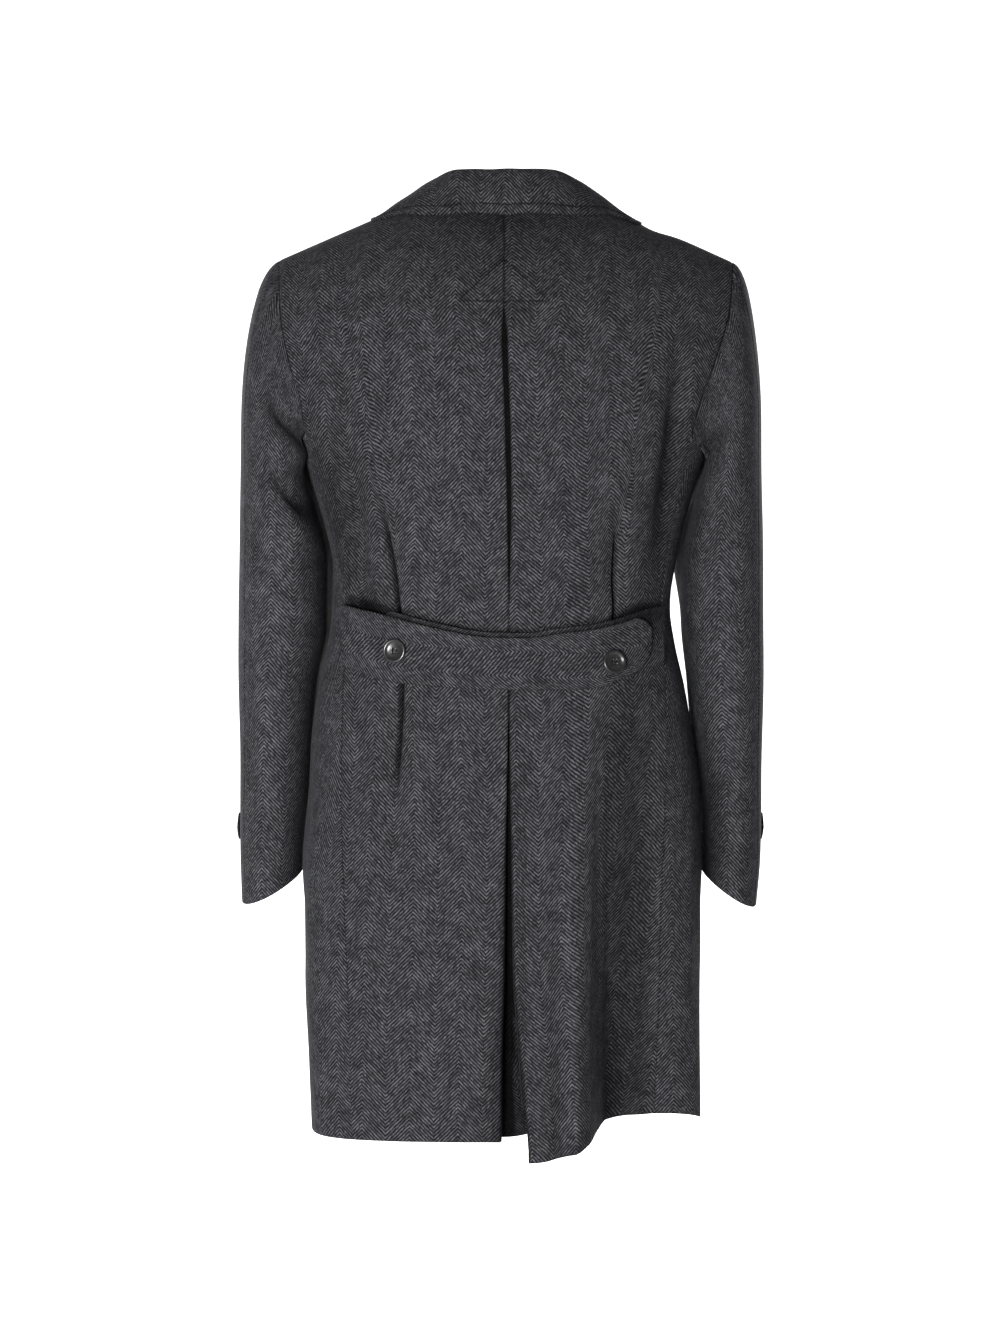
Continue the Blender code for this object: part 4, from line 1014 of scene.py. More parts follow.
# %% Creases and shade of the sleeves
SLEEVE_CREASES = {
    LEFT: table(CREASE_COLUMNS, [
        (0.2480, -0.193, 0.1960, -0.252, 0.0070, -0.0055),
        (0.2330, -0.235, 0.2000, -0.272, 0.0130, 0.0040),
        (0.2460, -0.266, 0.1900, -0.326, 0.0070, -0.0055),
        (0.2300, -0.315, 0.1960, -0.350, 0.0130, 0.0030),
        (0.2650, -0.330, 0.2150, -0.400, 0.0090, -0.0022),
        (0.2600, -0.440, 0.2000, -0.480, 0.0100, -0.0024),
        (0.2620, -0.510, 0.2100, -0.545, 0.0110, 0.0018),
        (0.2640, -0.400, 0.2560, -0.640, 0.0090, -0.0014),
    ]),
    RIGHT: table(CREASE_COLUMNS, [
        (-0.2250, -0.222, -0.1780, -0.285, 0.0070, -0.0050),
        (-0.2200, -0.275, -0.1900, -0.310, 0.0120, 0.0030),
        (-0.2450, -0.300, -0.1880, -0.372, 0.0090, -0.0026),
        (-0.2500, -0.400, -0.1900, -0.450, 0.0100, -0.0024),
        (-0.2520, -0.490, -0.2000, -0.530, 0.0110, 0.0020),
        (-0.2400, -0.560, -0.2100, -0.600, 0.0100, -0.0016),
    ]),
}
BACK_FOLDS, FRONT_FOLDS = 1.5, 0.8   # strength of these folds at the back and the front of the arm
FRONT_FOLDS_DROP = 0.03      # those at the front lie this much lower
FOLD_TURN, FOLD_START = 2.2, 0.1     # how soon they set in round the arm
CAP_FADE = 14                # folds die away over a fourteenth of the sleeve at its cap
FOLD_SHADE = 0.30            # painted shade at the bottom of the deepest folds
INNER_SHADE = {LEFT: 0.64, RIGHT: 0.76}   # painted shade between the sleeves and the body
INNER_FROM = {LEFT: (105, 105), RIGHT: (105, 85)}   # degrees at which it starts, above and at the cuff
INNER_CHANGE = (-0.50, 0.12)   # height at which the one becomes the other, and how softly
INNER_SOFT = 65              # degrees over which this shade sets in
SLEEVE_LIGHT = table("height left right", [   # painted light, taken off the painted shade
    (-0.720, 0.12, 0.00), (-0.620, 0.13, 0.02), (-0.540, 0.16, 0.14), (-0.400, 0.18, 0.15),
    (-0.290, 0.04, 0.00),
])


def sleeve_relief(side, turns, x, z):
    sine = np.sin(np.radians(turns))[None, :]
    behind = BACK_FOLDS * creases(SLEEVE_CREASES[side], x, z) * ease(sine * FOLD_TURN + FOLD_START)
    before = creases(SLEEVE_CREASES[side], x, z + FRONT_FOLDS_DROP) * ease(-sine * FOLD_TURN) * FRONT_FOLDS
    return behind + before


def sleeve_shade(side, word, half, turns, x, z):
    """Painted shade towards the body and in the folds, less the painted light that the round of the arm
    catches.
    """
    height, soft = INNER_CHANGE
    first = mix(*INNER_FROM[side], ease((height - z) / soft))
    inner = INNER_SHADE[side] * ease((turns - first) / INNER_SOFT) * (half == "under")
    deepest = SLEEVE_CREASES[side]["out"].min()
    folds = FOLD_SHADE * np.clip(creases(SLEEVE_CREASES[side], x, z) / deepest, 0, 1)
    return inner - read(SLEEVE_LIGHT, word, z) + folds


print("sleeve folds, left and right:", [len(folds["out"]) for folds in SLEEVE_CREASES.values()])

# %% Make the sleeves
HIND_TURN, FORE_TURN = 36.25, 244.5     # the two sleeve seams, in degrees from the outer side
ARM_GAP = -0.0006            # the cap reaches into the armhole by a hair
CAP_PULL_LOW = np.array((0.40, 0.35, 0.25))    # middle of the cap's curve under the arm
CAP_PULL_HIGH = np.array((0.82, 0.60, 0.06))   # and over the shoulder
UNDERARM_PUSH = 0.0045       # the cap swells by this much under the arm
CAP_SMOOTHING = (12, 10)     # rounds of smoothing, and rows below the cap that they reach
CAP_ROWS, ARM_ROWS, ARM_COLUMNS = (0.20, 0.006), (0.48, 0.0042), (0.20, 0.004)   # length and grid step
SLEEVE_RIPPLES = 2           # the sleeves have their own stretch of the ripples
ARM_MIDDLE = -0.03           # depth of the arm's middle line
UNDER_MIDDLE = 0.02          # that line lies further out for the under sleeve


def sleeve_grid(side, turns, cap_rows, ring_rows):
    angle = np.radians(turns)
    start = armhole(side, turns % 360) + np.array([side * ARM_GAP, 0, 0])
    first = sleeve_ring(side, np.zeros_like(angle), angle)
    high = ease((1 + np.cos(angle)) / 2)[:, None]
    push = (1 - high) * np.array([side * UNDERARM_PUSH, 0, 0])
    control = start + (first - start) * mix(CAP_PULL_LOW, CAP_PULL_HIGH, high) + push
    t = cap_rows[:, None, None]
    cap = start * (1 - t) ** 2 + control * 2 * t * (1 - t) + first * t ** 2
    angles, rings = np.meshgrid(angle, ring_rows)
    points = np.concatenate([cap, sleeve_ring(side, rings, angles)])
    rounds, reach = CAP_SMOOTHING
    low, high = len(cap) // 2, len(cap) + reach
    for _ in range(rounds):
        points[low:high] = (points[low - 1:high - 1] + 2 * points[low:high] + points[low + 1:high + 1]) / 4
    return points


def make_sleeve(side, word):
    cap_rows = spread(*CAP_ROWS, end=False)[:-1]
    ring_rows = spread(*ARM_ROWS, start=False) * (len(SLEEVE_RINGS[side]["depth"]) - 1)
    halves = ("under", HIND_TURN, FORE_TURN, 90), ("top", FORE_TURN, 360 + HIND_TURN, 360)
    for half, start, end, grain_turn in halves:
        turns = mix(start, end, spread(*ARM_COLUMNS))
        points = sleeve_grid(side, turns, cap_rows, ring_rows)
        x, z = points[..., 0], points[..., 2]
        relief = sleeve_relief(side, turns, x, z) + ripple(x + SLEEVE_RIPPLES, z)
        relief = relief * ease(np.linspace(0, 1, len(points)) * CAP_FADE)[:, None]
        shift = side * UNDER_MIDDLE if half == "under" else 0.0
        middle = points.mean(axis=1, keepdims=True) * np.array([1, 0, 1]) + np.array([shift, ARM_MIDDLE, 0])
        outward = unit(points - middle)
        length, straight = arc(points, 1), np.abs(turns - grain_turn).argmin()
        cloth_piece("sleeve_%s_%s" % (word, half), raised(points, relief, outward), outward,
                    across=length - length[:, straight:straight + 1], along=z - z.min(),
                    painted_shade_and_light=sleeve_shade(side, word, half, turns, x, z))


make_sleeve(LEFT, "left")
make_sleeve(RIGHT, "right")

# %% [markdown]
# ## Collar
# The collar stands up from the neckline, rolls over and falls to a straight edge that lies on the
# shoulders. In section it is one smooth curve through eight points: the stand, the roll and the fall.
# A flat piece could be bent round the neck, but its roll would buckle. A grid of such sections, from
# one front end round the neck to the other, makes the whole collar instead. A shallow groove follows
# its outer edge, where the topstitching draws the cloth in.

# %% Measures of the collar
STAND_INSET = 0.0015         # the stand rises this far inside the neckline
COLLAR_LIFT = 0.0006         # the edge lies this far off the shoulders
RIGHT_LEAN = 0.0033          # the stand leans in by this much more on the right side
LEAN_RUN = (0.25, 0.80, 0.20)   # shares of the reach: lean full at, gone at, and fading over
BULGE_RISE = 0.7             # the fall swells upwards by this share of its swelling outwards
COLLAR = table("reach seam_x seam_z roll_out roll_up bulge edge_x edge_drop", [
    (0.00, 0.0000, -0.0120, 0.0085, 0.0355, 0.0030, 0.000, 0.0455),
    (0.25, 0.0455, -0.0080, 0.0080, 0.0320, 0.0025, 0.065, 0.0340),
    (0.42, 0.0700, -0.0025, 0.0070, 0.0205, 0.0000, 0.107, 0.0135),
    (0.55, 0.0850, 0.0020, 0.0065, 0.0100, 0.0006, 0.134, 0.0060),
    (0.625, 0.0815, -0.0053, 0.0067, 0.0110, 0.0010, 0.137, 0.0000),
    (0.78, 0.0705, -0.0280, 0.0075, 0.0130, 0.0010, 0.141, -0.0160),
    (1.00, 0.0563, -0.0575, 0.0080, 0.0100, 0.0020, 0.130, -0.0410),
])
COLLAR_SECTION = table("out up fall bulge", [
    (0.00, 0.00, 0.00, 0.0), (0.00, 0.50, 0.00, 0.0), (0.12, 0.84, 0.00, 0.0), (0.60, 1.00, 0.00, 0.0),
    (1.25, 0.86, 0.00, 0.0), (1.25, 0.86, 0.35, 1.0), (1.25, 0.86, 0.70, 0.8), (1.25, 0.86, 1.00, 0.0),
])
print("collar:", len(COLLAR["reach"]), "places from the centre back to each end")


# %% Curves through points, and points laid on a surface
def through(rows, at):
    """Smooth curves through rows of points, at fractions of the rows."""
    rows = np.concatenate([2 * rows[:1] - rows[1:2], rows, 2 * rows[-1:] - rows[-2:-1]])
    k = np.clip(at.astype(int), 0, len(rows) - 4)
    t = (at - k)[:, None, None]
    a, b, c, d = (rows[k + step] for step in range(4))
    square, cube = 2 * a - 5 * b + 4 * c - d, 3 * b - a - 3 * c + d
    return 0.5 * (2 * b + (c - a) * t + square * t ** 2 + cube * t ** 3)


def lay_on(surface, first, second, lift, middle=(0.0, 0.0, -0.25), step=1e-4):
    """Points of a surface moved out along its normal, which points away from the middle."""
    point = surface(first, second)
    along = surface(first + step, second) - surface(first - step, second)
    across = surface(first, second + step) - surface(first, second - step)
    normal = unit(np.cross(along, across))
    normal = normal * np.sign(np.sum(normal * (point - np.array(middle)), axis=-1, keepdims=True))
    return point + normal * np.asarray(lift)[..., None], normal


half_way = through(np.arange(3.0)[:, None, None], np.array([0.5]))
print("curves: half way between the points 0 and 1 of a line lies", half_way.item())


# %% Sections of the collar
def across_shoulder(x, slip):
    z = shoulder_line(x) - slip ** 2
    return stack(x, np.where(slip >= 0, body_y(x, z, BACK), body_y(x, z, FRONT)), z)


def collar_sections(reach):
    side, place = np.where(reach < 0, RIGHT, LEFT), np.abs(reach)
    at = {column: read(COLLAR, column, place, "reach") for column in COLLAR}
    seam_x, seam_z = side * at["seam_x"], at["seam_z"]
    behind = place <= COLLAR["reach"][3]
    seam_y = np.where(behind, body_y(seam_x, seam_z, BACK), body_y(seam_x, seam_z, FRONT))
    seam = stack(seam_x, seam_y, seam_z)
    way = np.gradient(seam, axis=0)
    outward = unit(stack(-way[:, 1], way[:, 0], 0 * reach))
    outward = outward * np.sign(np.sum(outward * stack(seam_x, seam_y, 0), axis=1, keepdims=True) + 1e-9)
    base = seam - outward * (CLOTH + STAND_INSET) + np.array([0, 0, STAND_INSET / 2])
    up = stack(0 * reach, 0 * reach, at["roll_up"])
    out = outward * at["roll_out"][:, None]
    full, gone, fading = LEAN_RUN
    lean = RIGHT_LEAN * (reach < 0) * ease(place / full) * ease((gone - place) / fading)
    up = up - outward * lean[:, None]
    slip = np.sign(at["edge_drop"]) * np.sqrt(np.abs(at["edge_drop"]))
    edge, _ = lay_on(across_shoulder, side * at["edge_x"], slip, np.full(len(reach), CLOTH + COLLAR_LIFT))
    bulge = (outward + np.array([0, 0, BULGE_RISE])) * at["bulge"][:, None]
    return np.array([mix(base + out * o + up * u, edge, fall) + bulge * b
                     for o, u, fall, b in zip(*COLLAR_SECTION.values())])


centre_back = collar_sections(np.linspace(-1, 1, 3))[:, 1]
print("collar: at the centre back it rolls over at a height of", centre_back[:, 2].max().round(3), "m")

# %% Make the collar
COLLAR_ROUND, COLLAR_DOWN = (0.62, 0.004), (0.13, 0.0015)   # length and grid step
COLLAR_MIDDLE = np.array([0.0, 0.0, -0.06])
COLLAR_RIPPLES = 0.6         # strength of the ripples on the collar
STITCH_INSET = 0.0100        # the topstitching runs this far inside the collar's edge
STITCH_GROOVE = (0.0005, 0.0016)   # depth and width of the groove that it draws
COLLAR_SHADE = (0.09, 0.40)  # painted shade all over the collar, and in the groove


def make_collar():
    """Makes the collar, and returns the path of its topstitching and the normals there."""
    reach = 2 * spread(*COLLAR_ROUND) - 1
    sections = collar_sections(reach)
    points = through(sections, spread(*COLLAR_DOWN) * (len(sections) - 1))
    outward = unit(points - COLLAR_MIDDLE)
    outward[: len(points) // 3] *= -1    # the stand's outer face looks at the neck
    length = arc(points, 0)
    from_edge = length[-1:] - length
    depth, width = STITCH_GROOVE
    relief = (ripple(points[..., 0] * 2, points[..., 1] * 3) - RIPPLE) * COLLAR_RIPPLES
    groove = np.exp(-((from_edge - STITCH_INSET) / width) ** 2)
    points = raised(points, relief - depth * groove, outward)
    across = arc(points, 1)
    across = across - across[:, len(reach) // 2, None]
    # painted shade over the whole collar and in its stitched groove
    plain_shade, groove_shade = COLLAR_SHADE
    cloth_piece("collar", points, outward, across=across,
                painted_shade_and_light=plain_shade + groove_shade * groove ** 2)
    row = np.abs(from_edge - STITCH_INSET).argmin(axis=0)
    columns = np.arange(len(reach))
    return points[row, columns], facing(points, outward)[row, columns]


COLLAR_STITCHING = make_collar()

# %% [markdown]
# ## Lapels
# A lapel is the front's own facing, turned back along a roll line from the neck to the first button.
# It could be folded out of the front's grid, but a piece of its own can have its own grain, as the
# facing has. A normal of the front beneath lifts it off by a layer of cloth, and it swells a little
# at the roll line, where cloth this thick can't be creased.

# %% Lapels
LAPEL_GRID = (0.28, 0.004), (0.08, 0.003)   # length and grid step, along and across
LAPEL_GRAIN = 20.0           # degrees by which its weave is turned
LAY_GAP = 0.0008             # a piece lies this far off the one beneath
ROLL_GAP = 0.0006            # the lapel starts this far from the front's edge
LAPEL_ROLL = (0.0030, 0.25)  # height of the swelling at the roll line and its share of the width
NARROW_LAPEL = 0.05          # the swelling dies away where the lapel is narrower than this
LAPEL = table("along width rise", [
    (0.190, 0.082, 0.000), (0.250, 0.112, 0.030), (0.360, 0.105, 0.014), (0.600, 0.072, 0.006),
    (0.850, 0.032, 0.000), (0.985, 0.004, 0.000),
])


def make_lapel(side, word):
    run, share = lines(*LAPEL_GRID)
    along = mix(*LAPEL["along"][[0, -1]], run)
    width, rise = read(LAPEL, "width", along, "along"), read(LAPEL, "rise", along, "along")
    roll_z = mix(NECK_POINT, BREAK, along)
    x = front_edge_x(roll_z) + ROLL_GAP + share * width
    height, reach = LAPEL_ROLL
    swell = height * np.exp(-(share / reach) ** 2) * ease(width / NARROW_LAPEL) * ease(share * 6 + 0.3)

    def panel(own_x, z):
        return stack(side * own_x, body_y(side * own_x, z, FRONT) - lap_lift(side, side * own_x, z), z)

    points, normals = lay_on(panel, x, roll_z + share ** 2 * rise, CLOTH + LAY_GAP + swell)
    cloth_piece("lapel_" + word, points, normals, grain=-LAPEL_GRAIN * side)


make_lapel(LEFT, "left")
make_lapel(RIGHT, "right")

# %% [markdown]
# ## Half belt
# The half belt is two strips across the back of the waist. The under one is sewn in at the right side,
# the over one at the left, and two buttons hold them together. One curved band would look much the
# same from afar, but two strips give the step where the rounded end of the upper one lies on the
# lower. Both gape a little at the top, where the belt stands off the hollow of the waist.

# %% Half belt
BELT_GRID = (0.30, 0.003), (0.06, 0.003)   # length and grid step, along and across
BELT_GRAIN = 90.0            # the strips are cut across the cloth
BELT_ENDS = {"belt_under": (-0.1560, 0.1280), "belt_over": (0.1585, -0.1398)}   # sewn end, rounded end
BELT_LIFT = {"belt_under": 0.0012 + CLOTH, "belt_over": 0.0030 + 2 * CLOTH}
BELT_ROUNDING = 0.016        # the corners of the free ends are drawn back by this much
BELT_RIPPLES = 0.3           # strength of the ripples on the belt
BELT_GAPE = table("across out", [
    (-0.158, 0.0015), (-0.140, 0.0045), (-0.120, 0.0030), (-0.106, 0.0010), (-0.080, 0.0020),
    (0.000, 0.0025), (0.080, 0.0020), (0.111, 0.0010), (0.128, 0.0030), (0.145, 0.0045), (0.160, 0.0015),
])


def back_surface(x, z):
    return stack(x, body_y(x, z, BACK), z)


def make_belt(node):
    (start, tip), rise = BELT_ENDS[node], BELT_RISE[node]
    u, w = lines(*BELT_GRID)
    x = mix(start, tip + np.sign(start - tip) * BELT_ROUNDING * np.abs(2 * w - 1) ** 3, u)
    z = mix(read(BELT, "bottom", x, "across") + rise / 2, read(BELT, "top", x, "across") + rise, w)
    gape = read(BELT_GAPE, "out", x, "across") * w ** 2
    waves = BELT_RIPPLES * (ripple(x * 2, z) + RIPPLE)
    points, normals = lay_on(back_surface, x, z, BELT_LIFT[node] + gape + waves)
    # painted shadow of the over strip's top edge on the under strip
    painted_shade_and_light = belt_shadow(x, z, BELT_RISE["belt_over"]) if node == "belt_under" else 0.0
    cloth_piece(node, points, normals, grain=BELT_GRAIN, painted_shade_and_light=painted_shade_and_light)


make_belt("belt_under")
make_belt("belt_over")

# %% [markdown]
# ## Cuff tabs
# A short strap with a blunt point lies round the outer side of each cuff. It could be a flat strip
# that is bent afterwards. Laid on the sleeve's own rings, it follows the arm without bending.

# %% Cuff tabs
TAB_GRID = (0.11, 0.003), (0.03, 0.003)   # length and grid step, along and across
TAB_TURNS = (-112.0, 4.0)    # from the tab's sewn end to its point, in degrees round the sleeve
TAB_RINGS = (5.38, 5.80)     # its edges, in rings of the sleeve
TAB_TAPER = 12.0             # degrees by which the corners of its point are drawn back
TAB_LIFT = CLOTH + LAY_GAP * 1.5


def cuff_surface(side):
    def surface(turn, ring):
        return sleeve_ring(side, ring, turn)

    middle = surface(np.array([0.0, math.pi]), np.full(2, sum(TAB_RINGS) / 2)).mean(axis=0)
    return surface, middle


def make_tab(side, word):
    u, w = lines(*TAB_GRID)
    turn = np.radians(mix(TAB_TURNS[0], TAB_TURNS[1] - TAB_TAPER * np.abs(2 * w - 1), u))
    surface, middle = cuff_surface(side)
    points, normals = lay_on(surface, turn, mix(*TAB_RINGS, w), np.full(u.shape, TAB_LIFT), middle)
    cloth_piece("cuff_tab_" + word, points, normals, grain=BELT_GRAIN)


make_tab(LEFT, "left")
make_tab(RIGHT, "right")

# %% [markdown]
# ## Sewing
# Topstitching follows the collar's edge, and a stitched triangle closes the top of the pleat. Each
# stitch is a short thread, thin at both ends and half sunk in the cloth. A dashed line in the material
# would be lighter, but it would stay flat from the side. The triangle's stitches are dropped onto the
# finished back by casting rays, so they follow its creases.

# %% Thread
THREAD_THICK = 0.00055       # radius of the thread
THREAD_END = 0.02            # square of the least girth, at a stitch's ends


def thread_material():
    n = Nodes("thread")
    n.set(Base_Color=(0.006, 0.006, 0.007, 1.0), Roughness=0.8, Specular_IOR_Level=0.2)
    return n.material


THREAD = thread_material()


def rods(name, starts, ends, ups, sink=0.5, rows=5, sides=8):
    """Short threads, thin at both ends, as one mesh; sink is the share that lies in the cloth."""
    t = np.linspace(0, 1, rows)
    girth = np.sqrt(np.clip(1 - (2 * t - 1) ** 2, THREAD_END, 1))
    turn = np.linspace(0, 2 * math.pi, sides, endpoint=False)
    along = unit(ends - starts)
    aside = unit(np.cross(ups, along))
    line = starts[:, None] + (ends - starts)[:, None] * t[None, :, None]
    line = line + ups[:, None] * (THREAD_THICK * (girth - sink))[None, :, None]
    ring = aside[:, None] * np.cos(turn)[None, :, None] + ups[:, None] * np.sin(turn)[None, :, None]
    points = line[:, :, None] + ring[:, None] * (THREAD_THICK * girth)[None, :, None, None]
    number = np.arange(points[..., 0].size).reshape(points.shape[:3])
    after = np.roll(number, -1, axis=2)
    quads = np.stack([number[:, :-1], after[:, :-1], after[:, 1:], number[:, 1:]], axis=-1).reshape(-1, 4)
    caps = np.concatenate([number[:, 0][:, ::-1], number[:, -1]])
    mesh = bpy.data.meshes.new(name)
    mesh.from_pydata(points.reshape(-1, 3).tolist(), [], quads.tolist() + caps.tolist())
    mesh.shade_smooth()
    return mesh


print("thread:", THREAD_THICK * 2000, "mm thick")

# %% Stitches
STITCH = 0.0032              # from the start of one stitch to the next
STITCH_LONG = 0.0023


def stitch_line(name, path, ups):
    length = np.concatenate([[0.0], np.cumsum(np.linalg.norm(np.diff(path, axis=0), axis=1))])
    places = np.arange(STITCH, length[-1] - STITCH, STITCH)

    def at(values, where):
        return np.stack([np.interp(where, length, values[:, k]) for k in range(3)], axis=-1)

    mesh = rods(name, at(path, places), at(path, places + STITCH_LONG), unit(at(ups, places)))
    add_piece(mesh, THREAD, "wool")
    print(name, "has", len(places), "stitches")


def drop_on_back(corners, step=0.002):
    """Points and normals of the finished back along a line seen from behind."""
    trees = [BVHTree.FromObject(made[node + "_cloth"], bpy.context.evaluated_depsgraph_get())
             for node in ("back_left", "back_right")]
    points, normals = [], []
    for (x0, z0), (x1, z1) in zip(corners, corners[1:]):
        for t in np.arange(0, 1, step / math.hypot(x1 - x0, z1 - z0)):
            start = Vector((mix(x0, x1, t), 1.0, mix(z0, z1, t)))
            hits = [tree.ray_cast(start, Vector((0, -1, 0))) for tree in trees]
            found = [hit for hit in hits if hit[0]]
            if found:
                nearest = max(found, key=lambda hit: hit[0].y)
                points.append(nearest[0])
                normals.append(nearest[1])
    return np.array(points), np.array(normals)


stitch_line("collar_stitching", *COLLAR_STITCHING)
stitch_line("pleat_stitching", *drop_on_back(TRIANGLE))

# %% [markdown]
# ## Buttons
# Each button is turned from one profile: a dished middle, a raised rim and a narrower foot. Holes cut
# with a boolean would leave ragged faces, so the four holes are pressed into the finely divided dish,
# and two bars of thread cross between them. The material is near-black horn, glossy, with faint
# streaks that run through the blank.

# %% Button horn
HORN_STREAKS = (260.0, 900.0, 420.0)   # streaks in a metre along the three axes
HORN_TONES = [(0.35, (0.006, 0.006, 0.007)), (0.75, (0.030, 0.028, 0.028))]


def horn():
    n = Nodes("button_horn")
    place = n.add("ShaderNodeTexCoord").outputs["Object"]
    stretched = n.add("ShaderNodeVectorMath", {0: place, 1: HORN_STREAKS}, operation="MULTIPLY").outputs[0]
    n.set(Base_Color=n.ramp(n.noise(stretched, 1.0, 3.0, 0.6), HORN_TONES))
    n.set(Roughness=0.30, Specular_IOR_Level=0.9, Coat_Weight=0.6, Coat_Roughness=0.20)
    return n.material


HORN = horn()
print("button material:", HORN.name)

# %% Button form
BUTTON_RADIUS = 0.0120
BUTTON_HEIGHT = 0.0042
BUTTON_HOLES = (0.0026, 0.0009, 0.0016)   # distance from the centre, radius and depth
BUTTON_LINES, BUTTON_SIDES = 76, 72       # grid lines along the profile and round the button
BUTTON_PROFILE = table("radius height", [
    (0.00, 0.42), (0.20, 0.43), (0.40, 0.48), (0.58, 0.58), (0.70, 0.74), (0.76, 0.90), (0.82, 0.985),
    (0.88, 1.00), (0.945, 0.93), (0.985, 0.78), (1.00, 0.60), (0.97, 0.38), (0.86, 0.12), (0.70, 0.02),
    (0.40, 0.00),
])


def button_grid():
    """The button's points about its own axis, in rings from the middle of its face to its foot."""
    profile = stack(BUTTON_PROFILE["radius"] * BUTTON_RADIUS, 0.0, BUTTON_PROFILE["height"] * BUTTON_HEIGHT)
    curve = through(profile[:, None], np.linspace(0, len(profile) - 1, BUTTON_LINES))[:, 0]
    radius, height = np.maximum(curve[1:, 0], 0.0)[:, None], curve[1:, 2][:, None]
    turn = np.linspace(0, 2 * math.pi, BUTTON_SIDES, endpoint=False)[None, :]
    x, y = radius * np.cos(turn), radius * np.sin(turn)
    away, hole, depth = BUTTON_HOLES
    for k in range(4):
        corner = math.pi / 4 + k * math.pi / 2
        gap = np.hypot(x - away * math.cos(corner), y - away * math.sin(corner))
        pressed = ease((hole * 1.25 - gap) / (hole * 0.5)) * (height > BUTTON_HEIGHT * 0.3)
        height = height - depth * pressed
    return stack(x, y, height), curve[0, 2]


def turned_button(points, middle):
    rings, sides = points.shape[:2]
    number = np.arange(rings * sides).reshape(rings, sides)
    after = np.roll(number, -1, axis=1)
    quads = np.stack([number[:-1], number[1:], after[1:], after[:-1]], axis=-1).reshape(-1, 4)
    fan = [[rings * sides, a, b] for a, b in zip(number[0], after[0])]
    foot = [number[-1, ::-1].tolist()]
    return points.reshape(-1, 3).tolist() + [[0, 0, middle]], quads.tolist() + fan + foot


BUTTON_POINTS, BUTTON_FACES = turned_button(*button_grid())
print("button:", BUTTON_RADIUS * 2000, "mm across,", len(BUTTON_FACES), "faces")

# %% Make the buttons
BELT_BUTTONS = {"left": (0.1065, -0.4543), "right": (-0.1027, -0.466)}   # across and height
FRONT_BUTTONS = [(x, z) for z in (-0.365, -0.470, -0.575) for x in (0.055, -0.055)]
CUFF_BUTTON = (-46.0, 5.59)  # degrees round the sleeve, and ring
CUFF_BUTTON_LIFT = CLOTH + LAY_GAP * 2.5
THREAD_REACH = 1.12          # the bars of thread end just past the middles of the holes
THREAD_LEVEL = 0.44          # and lie at this share of the button's height
threads = {"starts": [], "ends": [], "ups": []}


def make_button(node, seat, normal):
    up = unit(np.asarray(normal, dtype=float))
    aside = unit(np.cross((0.0, 0.0, 1.0), up))
    axes = np.column_stack([aside, np.cross(up, aside), up])
    mesh = bpy.data.meshes.new(node + "_turned")
    mesh.from_pydata((np.array(BUTTON_POINTS) @ axes.T + seat).tolist(), [], BUTTON_FACES)
    mesh.shade_smooth()
    add_piece(mesh, HORN, "button", node)
    away = BUTTON_HOLES[0] / math.sqrt(2) * THREAD_REACH
    level = BUTTON_HEIGHT * THREAD_LEVEL
    for place in (-away, away):
        threads["starts"].append(axes @ (place, -away, level) + seat)
        threads["ends"].append(axes @ (place, away, level) + seat)
        threads["ups"].append(up)


def left_front(x, z):
    return stack(x, body_y(x, z, FRONT) - lap_lift(LEFT, x, z), z)


for word, (x, z) in BELT_BUTTONS.items():
    seat = lay_on(back_surface, np.array(x), np.array(z), BELT_LIFT["belt_over"] + LAY_GAP)
    make_button("belt_button_" + word, *seat)
for place, (x, z) in enumerate(FRONT_BUTTONS):
    make_button("front_button_%d" % (place + 1), *lay_on(left_front, np.array(x), np.array(z), LAY_GAP))
for side, word in ((LEFT, "left"), (RIGHT, "right")):
    surface, middle = cuff_surface(side)
    spot = np.radians(CUFF_BUTTON[0]), np.array(CUFF_BUTTON[1])
    make_button("cuff_button_" + word, *lay_on(surface, *spot, CUFF_BUTTON_LIFT, middle))
bars = rods("button_threads", *(np.array(values) for values in threads.values()), sink=0.0)
add_piece(bars, THREAD, "wool")
print("buttons:", len(threads["ups"]) // 2, "with two bars of thread each")

# %% [markdown]
# ## Stage and light
# The coat is shown on pure white. A white world would give that ground, but its light from all sides
# would wash out the folds. A glowing white backdrop in front of the coat gives it instead, over a
# plain pale floor, and the world is left a quiet grey. One large soft light stands beside the camera,
# to its left, so that the folds are dark on their far side. Two weaker ones, in front of the coat,
# light the sides and the front that the camera doesn't see.

# %% Stage and light
STAGE = {                    # half width, line of (y, z) places, tone and glow
    "backdrop": (2.6, ((-4.0, 2.0), (-4.0, -1.75), (-1.9, -1.75)), 0.9, 1.0),
    "floor": (6.0, ((-6.0, -1.752), (6.0, -1.752)), 0.7, 0.0),
}
LIGHTS = {                   # place, aim, size in metres and power in watts
    "key": ((0.95, 2.9, -0.80), (0.0, 0.1, -0.5), 1.0, 83.0),
    "fill_left": ((1.9, -2.8, 0.4), (0.0, 0.0, -0.5), 1.2, 38.0),
    "fill_right": ((-1.9, -2.8, 0.4), (0.0, 0.0, -0.5), 1.2, 50.0),
}
WORLD_STRENGTH = 0.18


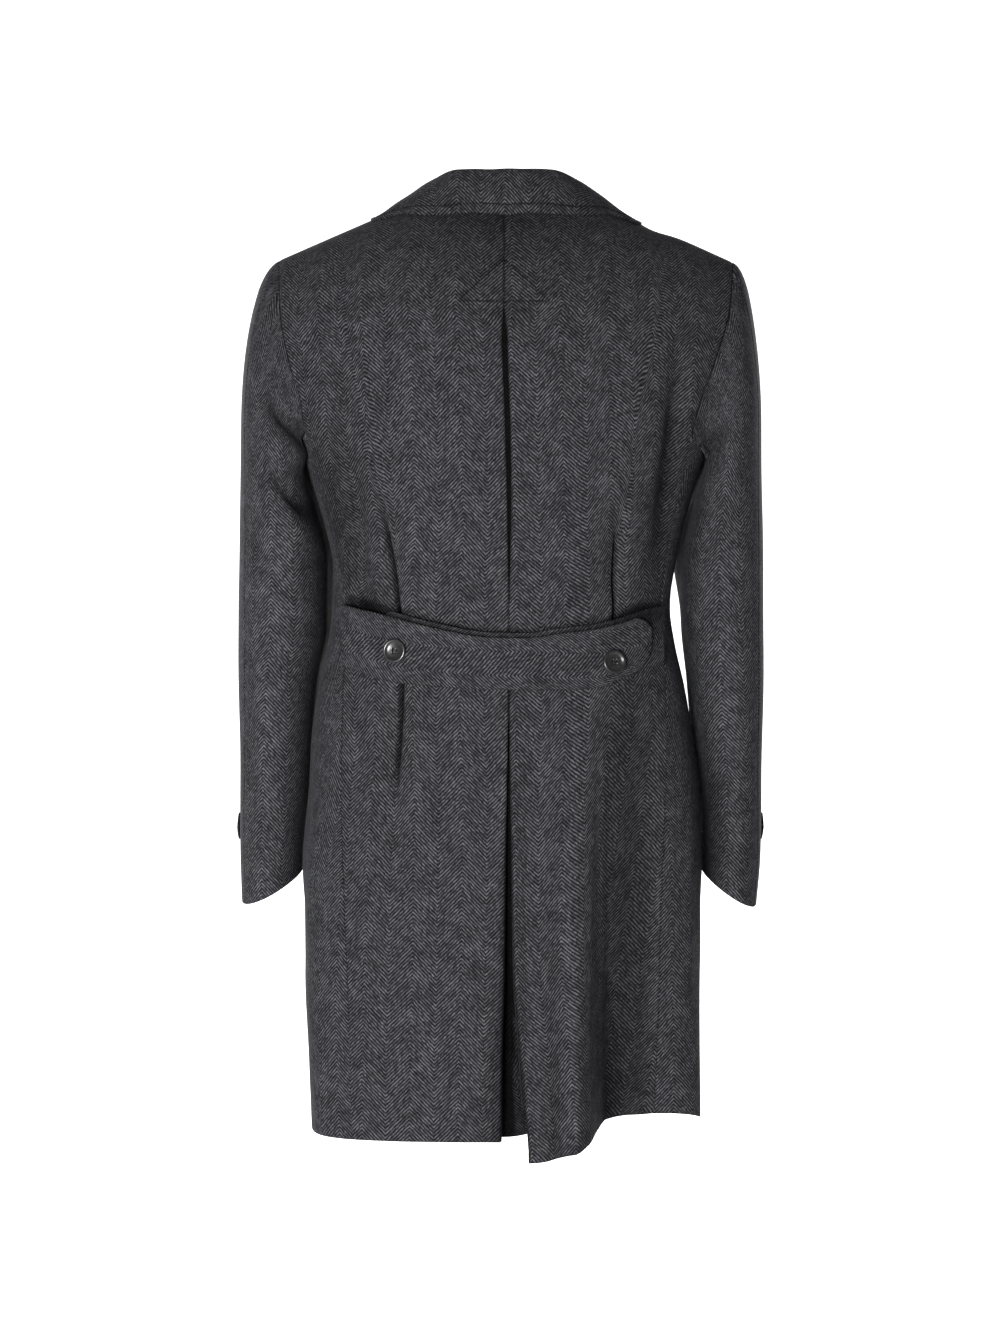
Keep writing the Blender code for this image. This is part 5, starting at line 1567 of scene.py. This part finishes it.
def stage_sheet(name, half, line, tone, glow):
    """A plain sheet of the stage, along a line of (y, z) places."""
    n = Nodes(name)
    n.set(Base_Color=(tone, tone, tone, 1.0), Roughness=0.9)
    n.set(Emission_Color=(1.0, 1.0, 1.0, 1.0), Emission_Strength=glow)
    mesh = bpy.data.meshes.new(name)
    corners = [(side * half, *place) for place in line for side in (-1, 1)]
    mesh.from_pydata(corners, [], [(k, k + 1, k + 3, k + 2) for k in range(0, 2 * len(line) - 2, 2)])
    mesh.materials.append(n.material)
    sheet = bpy.data.objects.new(name, mesh)
    bpy.context.scene.collection.objects.link(sheet)


def area_light(name, place, aim, size, power):
    light = bpy.data.lights.new(name, "AREA")
    light.shape = "DISK"
    light.size = size
    light.energy = power
    lamp = bpy.data.objects.new(name, light)
    lamp.location = place
    lamp.rotation_euler = (Vector(aim) - Vector(place)).to_track_quat("-Z", "Y").to_euler()
    bpy.context.scene.collection.objects.link(lamp)


for name, values in STAGE.items():
    stage_sheet(name, *values)
for name, values in LIGHTS.items():
    area_light(name, *values)
world = bpy.data.worlds.new("grey")
world.use_nodes = True
world.node_tree.nodes["Background"].inputs["Color"].default_value = (1.0, 1.0, 1.0, 1.0)
world.node_tree.nodes["Background"].inputs["Strength"].default_value = WORLD_STRENGTH
bpy.context.scene.world = world
print("stage:", ", ".join(STAGE), "and", len(LIGHTS), "lights")

# %% [markdown]
# ## Camera
# The photograph was taken from behind, about level with the waist, with a long lens that keeps the
# shoulders and the hem at nearly one scale. A wide lens close by could frame the coat as well, but
# it would swell the waist. So the camera stands three metres behind the coat and looks down by less
# than two degrees.

# %% Camera
LENS, SENSOR = 79.42, 36.0   # millimetres
CAMERA_PLACE = (0.0061, 3.0, -0.38)
CAMERA_DIP = 1.776           # degrees below the level

camera = bpy.data.cameras.new("camera")
camera.sensor_fit = "VERTICAL"
camera.sensor_height = SENSOR
camera.lens = LENS
viewer = bpy.data.objects.new("camera", camera)
viewer.location = CAMERA_PLACE
viewer.rotation_euler = (math.radians(90 - CAMERA_DIP), 0.0, math.pi)
bpy.context.scene.collection.objects.link(viewer)
bpy.context.scene.camera = viewer
bpy.context.scene.view_settings.view_transform = "Standard"
print("camera:", LENS, "mm lens at", CAMERA_PLACE)

# %% [markdown]
# ## Pieces and triangles
# The skins stay within about a millimetre of the solids' box. The pieces and their triangles are
# counted.

# %% Count the pieces and finish
def triangles(piece):
    return len(piece.data.loops) - 2 * len(piece.data.polygons)


print("pieces:", len(made), "triangles:", sum(triangles(piece) for piece in made.values()))
